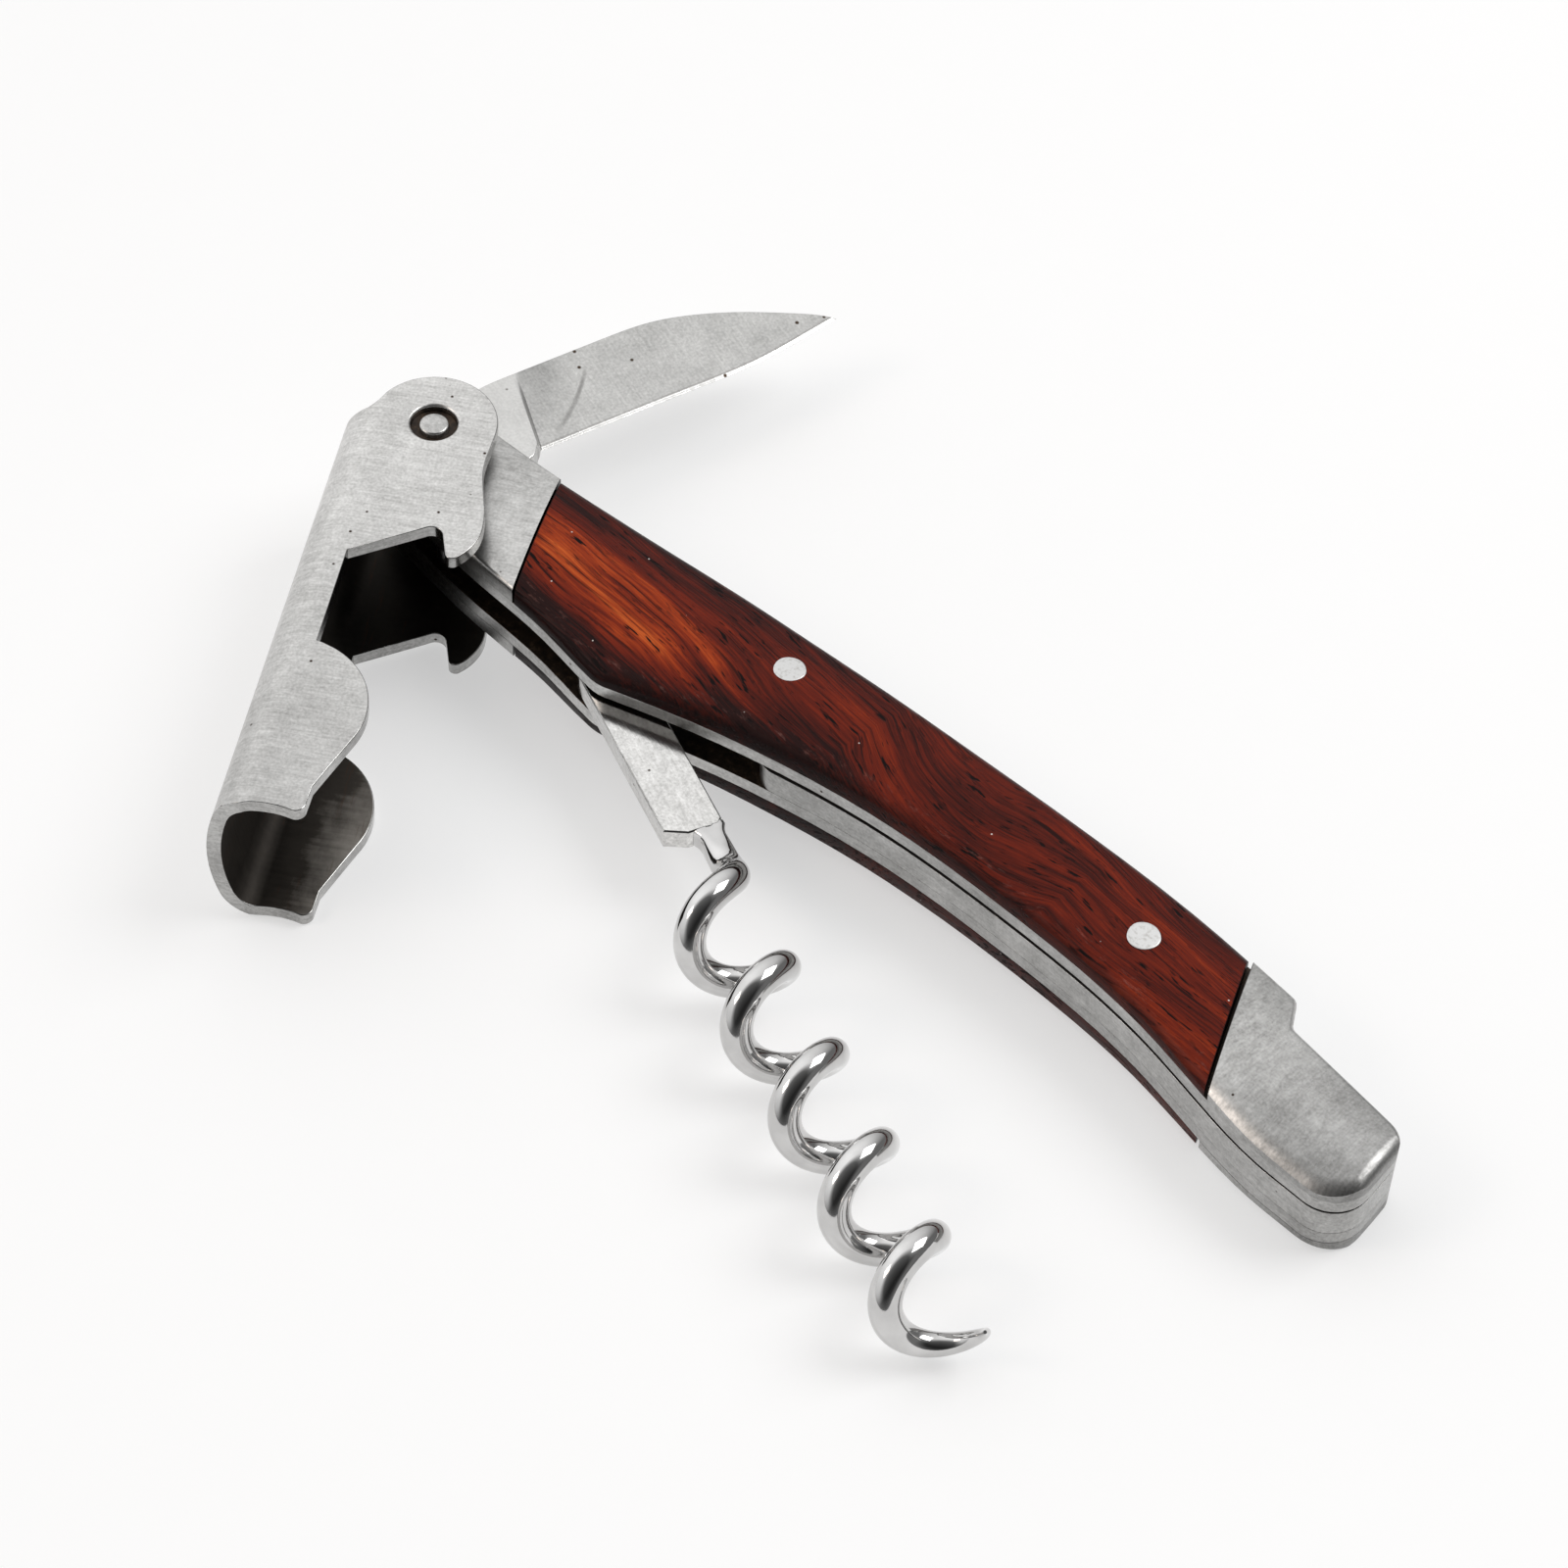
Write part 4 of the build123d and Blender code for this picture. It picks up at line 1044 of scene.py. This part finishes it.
class CORKSCREW_OT_blade(bpy.types.Operator):
    """Foil blade, ground from a plunge line to a honed edge."""

    bl_idname = "corkscrew.blade"
    bl_label = "Foil blade"

    def execute(self, context):
        shape = in_mm(context.scene.corkscrew_blade)
        steel = blade_steel(context.scene.corkscrew_metal, shape)
        rings, edge_gap = self.rings(shape)
        blade = put_rings(
            "blade_ground", rings, PIVOT, BLADE_TURN, "blade", "blade_steel", [steel],
            sharp=30.0, gaps={"edge_gap": edge_gap})
        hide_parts("foil_blade")
        return {"FINISHED"}

    def rings(self, shape):
        """Rings round the blade: over its upper side from the cutting edge to the spine, and back below.

        Before the plunge line the blade has its full half thickness. Behind it, over a smooth step, this
        grows in a straight line with the gap to the cutting edge, and the honed bevel brings it down at the
        edge. The rims that aren't honed are rolled. Also gives each point's gap to the cutting edge.
        """
        heel, tip, step, thinnest = -4.55, 39.83, 0.5, 0.012
        x = heel + (tip - heel) * np.sin(np.linspace(0, math.pi / 2, 220)) ** 1.4
        x = np.sort(np.concatenate([x, shape.plunge + np.linspace(0.45, 1.35, 16)]))
        up = np.tile((math.sin(shape.plunge_lean), math.cos(shape.plunge_lean)), (len(x), 1))
        start = np.stack([x, self.middle(x)], axis=1)
        low, high = crossing("foil_blade", PIVOT, BLADE_TURN, start, up)
        high = self.fair(high)
        share = edge_first(56)[None]
        flat = low[:, None] + share[..., None] * (high - low)[:, None]
        edge_gap, spine_gap = rim_gaps(low, high, share)
        leaning = flat[..., 0] - flat[..., 1] * math.tan(shape.plunge_lean)
        ground = smooth((leaning - shape.plunge) / step)
        height = np.clip(edge_gap / (shape.spine_y - shape.edge_y), 0, 1)
        half = shape.half + ground * (shape.edge + (shape.half - shape.edge) * height - shape.half)
        honed = np.clip(edge_gap / shape.honed, 0.08, 1)
        half = np.where(ground > 0.5, half * honed, half - roll(edge_gap, 0.15, 0.15, 0.95))
        half = np.maximum(half - roll(spine_gap, 0.15, 0.12, 0.9), thinnest)
        top = np.concatenate([flat, half[..., None]], axis=2)
        under = top[:, ::-1] * (1, 1, -1)
        return np.concatenate([top, under], axis=1), np.concatenate([edge_gap, edge_gap[:, ::-1]], axis=1)

    def middle(self, x):
        """Line inside the blade that the lines across start from, lower at the tip and at the heel."""
        to_tip = np.clip((x - 25) / 14.85, 0, 1)
        to_heel = np.clip(1 - (x + 4.6) / 8, 0, 1)
        return 2.42 - 2.3 * to_tip**2 - 2.0 * to_heel

    def fair(self, rim):
        """Spine with its middle part averaged along its length, so that it bends without a corner."""
        side = 12
        weights = np.hanning(2 * side + 1)
        weights /= weights.sum()
        padded = np.pad(rim, ((side, side), (0, 0)), mode="edge")
        even = np.stack([np.convolve(column, weights, "valid") for column in padded.T], axis=1)
        share = np.clip((rim[:, :1] - 13) / 3, 0, 1) * np.clip((35 - rim[:, :1]) / 4, 0, 1)
        return rim + share * (even - rim)


class CORKSCREW_OT_worm(bpy.types.Operator):
    """Worm: polished wound wire on a flat shank."""

    bl_idname = "corkscrew.worm"
    bl_label = "Worm"

    def execute(self, context):
        shape, look = in_mm(context.scene.corkscrew_worm), context.scene.corkscrew_metal
        polished = polished_wire(look)
        put_rings(
            "worm_wire", self.wire(shape), WORM_PIVOT, WORM_TURN, "worm", "worm_steel", [polished],
            sharp=60.0)
        steel = satin_steel(
            "shank_satin", look.shank, WORM_PIVOT, WORM_TURN, (2.2, 0.35, 0.35), 0.16, cloudy=0.06, pits=0.6)
        shank = merged_copy("worm", "worm_shank", [steel])
        self.cut_wire(shank.data, shape)
        return {"FINISHED"}

    def path(self, shape, x):
        """Centre line of the wire at x along the coil's axis, with the directions outward and across it.

        The wire turns about the axis by an angle that is nought on the neck, grows with the square of the
        distance over the ease, then in step with the pitch. Its centre is the axis plus the coil radius
        along the outward direction at that angle.
        """
        rate = 2 * math.pi / shape.pitch
        start = shape.begin - shape.ease / 2
        eased = np.clip(x - start, 0, shape.ease)
        angle = rate * (eased**2 / (2 * shape.ease) + np.clip(x - start - shape.ease, 0, None))
        speed = rate * eased / shape.ease
        zero = np.zeros_like(x)
        outward = np.stack([zero, np.cos(angle), np.sin(angle)], axis=1)
        sideways = np.stack([zero, -np.sin(angle), np.cos(angle)], axis=1)
        centre = np.stack([x, zero + shape.axis, zero], axis=1) + shape.coil * outward
        along = np.stack([zero + 1, zero, zero], axis=1) + (shape.coil * speed)[:, None] * sideways
        along /= np.linalg.norm(along, axis=1)[:, None]
        return centre, outward, np.cross(along, outward)

    def wire(self, shape):
        """Section carried along the wire's path: nearly square at the neck, then round, then tapering.

        The section is a rounded square whose power falls from seven to two, a circle, as the neck grows. At
        the shank it flares a little in width.
        """
        sunk, flare_width, flare_run = 0.3, 0.4, 1.2
        end = shape.begin + shape.turns * shape.pitch
        taper = end - shape.point * shape.pitch
        x = np.linspace(shape.shank - sunk, end, 820)
        leaving = x - shape.shank
        grown = smooth(leaving / shape.neck_run)
        worn = np.clip((x - taper) / (end - taper), 0, 1)
        flare = flare_width * np.clip(1 - leaving / flare_run, 0, 1) ** 2
        radius = shape.neck + (shape.wire - shape.neck) * grown
        radius -= (shape.wire - shape.point_radius) * worn**1.3
        power = 2 + 5 * (1 - grown[:, None]) ** 2
        turn = np.linspace(0, 2 * math.pi, 40, endpoint=False)
        square = (np.abs(np.cos(turn)) ** power + np.abs(np.sin(turn)) ** power) ** (-1 / power)
        centre, outward, across = self.path(shape, x)
        wide = (radius + flare)[:, None] * square * np.cos(turn)
        thick = radius[:, None] * square * np.sin(turn)
        return centre[:, None] + wide[..., None] * outward[:, None] + thick[..., None] * across[:, None]

    def cut_wire(self, mesh, shape):
        """Cuts a merged copy of the whole worm off behind the shank's end and closes it there."""
        beyond = 0.05
        work = bmesh.new()
        work.from_mesh(mesh)
        along = Vector((math.cos(WORM_TURN), math.sin(WORM_TURN), 0))
        limit = (shape.shank + beyond) * MM
        far = [vert for vert in work.verts if (vert.co - WORM_PIVOT).dot(along) > limit]
        bmesh.ops.delete(work, geom=far, context="VERTS")
        bmesh.ops.holes_fill(work, edges=[edge for edge in work.edges if edge.is_boundary])
        work.to_mesh(mesh)
        work.free()


class CORKSCREW_OT_stage(bpy.types.Operator):
    """White paper floor, soft lamps and the camera."""

    bl_idname = "corkscrew.stage"
    bl_label = "Stage"

    def execute(self, context):
        look = context.scene.corkscrew_stage
        self.floor(look)
        self.world(context.scene)
        self.lamps()
        self.camera(context.scene, look)
        context.scene.view_settings.view_transform = "Standard"
        return {"FINISHED"}

    def floor(self, look):
        """Plane that the lever's lower cheek and the tail rest on: height = rise + slope_x x + slope_y y."""
        rise, slope_x, slope_y, reach_out = 1.35 * MM, 0.0377, 0.0144, 3.0
        corners = reach_out * np.array([(-1, -1), (1, -1), (1, 1), (-1, 1)])
        height = rise + corners @ np.array([slope_x, slope_y])
        mesh = bpy.data.meshes.new("floor")
        mesh.from_pydata(np.column_stack([corners, height]).tolist(), [], [(0, 1, 2, 3)])
        floor = bpy.data.objects.new("floor", mesh)
        mesh.materials.append(floor_paper(look))
        bpy.context.scene.collection.objects.link(floor)

    def world(self, scene):
        """Room that is brightest high on the left, falls off to the right and is dark behind the camera.

        Its light is the product of two ramps, each over the cosine of the angle to one direction.
        """
        world = bpy.data.worlds.new("studio")
        world.use_nodes = True
        nodes, links = world.node_tree.nodes, world.node_tree.links
        direction = nodes.new("ShaderNodeTexCoord").outputs["Generated"]
        product = nodes.new("ShaderNodeVectorMath")
        product.operation = "MULTIPLY"
        bright_left = ((-0.65, -0.10, 0.75), ((0.0, 0.20), (0.45, 0.80), (1.0, 1.30)))
        dark_behind = ((0.43, -0.47, 0.77), ((0.58, 1.0), (0.82, 0.17), (1.0, 0.09)))
        for factor, (towards, stops) in zip(product.inputs, (bright_left, dark_behind)):
            dot = nodes.new("ShaderNodeVectorMath")
            dot.operation = "DOT_PRODUCT"
            dot.inputs[1].default_value = towards
            ramp = nodes.new("ShaderNodeValToRGB")
            ramp.color_ramp.elements.new(0.5)
            for element, (position, level) in zip(ramp.color_ramp.elements, stops):
                element.position = position
                element.color = (level, level, level, 1.0)
            links.new(direction, dot.inputs[0])
            links.new(dot.outputs["Value"], ramp.inputs["Fac"])
            links.new(ramp.outputs["Color"], factor)
        links.new(product.outputs["Vector"], nodes["Background"].inputs["Color"])
        scene.world = world

    def lamps(self):
        """Two soft square lamps that face the origin: the key behind, and a warm one at the side."""
        for name, position, size, power, colour in (
            ("key", (0.31, 0.56, 0.77), 0.55, 4.4, (1.0, 1.0, 1.0)),
            ("warm_side", (-0.45, -0.6, 0.65), 0.3, 1.1, (1.0, 0.86, 0.76)),
        ):
            lamp = bpy.data.lights.new(name, "AREA")
            lamp.shape = "SQUARE"
            lamp.size = size
            lamp.energy = power
            lamp.color = colour
            obj = bpy.data.objects.new(name, lamp)
            obj.location = position
            obj.rotation_mode = "QUATERNION"
            obj.rotation_quaternion = Vector(position).to_track_quat("Z", "Y")
            bpy.context.scene.collection.objects.link(obj)

    def camera(self, scene, look):
        """Camera at a distance from its target, by azimuth and elevation, turned by the roll."""
        a, e = look.azimuth, look.elevation
        back = Vector((math.sin(a) * math.cos(e), -math.cos(a) * math.cos(e), math.sin(e)))
        level = Vector((math.cos(a), math.sin(a), 0.0))
        right = math.cos(look.roll) * level + math.sin(look.roll) * back.cross(level)
        data = bpy.data.cameras.new("camera")
        data.sensor_width = 36.0
        data.lens = look.lens
        data.clip_start = 0.01
        data.clip_end = 20.0
        camera = bpy.data.objects.new("camera", data)
        turn = Matrix((right, back.cross(right), back)).transposed().to_4x4()
        camera.matrix_world = Matrix.Translation(Vector(look.target) + back * look.distance) @ turn
        scene.collection.objects.link(camera)
        scene.camera = camera


class CORKSCREW_PT_panel(bpy.types.Panel):
    """Lists the steps of the corkscrew, and its sizes and colours."""

    bl_idname = "CORKSCREW_PT_panel"
    bl_label = "Corkscrew"
    bl_space_type = "VIEW_3D"
    bl_region_type = "UI"
    bl_category = "Corkscrew"

    def draw(self, context):
        for operator in OPERATORS:
            self.layout.operator(operator.bl_idname)
        for name, group in GROUPS.items():
            box = self.layout.box()
            for key in group.__annotations__:
                box.prop(getattr(context.scene, name), key)


OPERATORS = (
    CORKSCREW_OT_lever,
    CORKSCREW_OT_bolsters,
    CORKSCREW_OT_plates,
    CORKSCREW_OT_scales,
    CORKSCREW_OT_pins,
    CORKSCREW_OT_blade,
    CORKSCREW_OT_worm,
    CORKSCREW_OT_stage,
)
GROUPS = {
    "corkscrew_handle": HandleShape,
    "corkscrew_blade": BladeShape,
    "corkscrew_worm": WormShape,
    "corkscrew_metal": MetalLook,
    "corkscrew_wood": WoodLook,
    "corkscrew_stage": StageLook,
}


def register():
    """Adds the classes and the scene's groups of sizes and colours."""
    for cls in (*GROUPS.values(), *OPERATORS, CORKSCREW_PT_panel):
        bpy.utils.register_class(cls)
    for name, group in GROUPS.items():
        setattr(bpy.types.Scene, name, bpy.props.PointerProperty(type=group))


def unregister():
    """Takes the groups and the classes away again."""
    for name in GROUPS:
        delattr(bpy.types.Scene, name)
    for cls in reversed((*GROUPS.values(), *OPERATORS, CORKSCREW_PT_panel)):
        bpy.utils.unregister_class(cls)


def main():
    """Registers the classes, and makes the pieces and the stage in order."""
    register()
    for operator in OPERATORS:
        getattr(bpy.ops.corkscrew, operator.bl_idname.split(".")[1])()


if __name__ == "__main__":
    main()
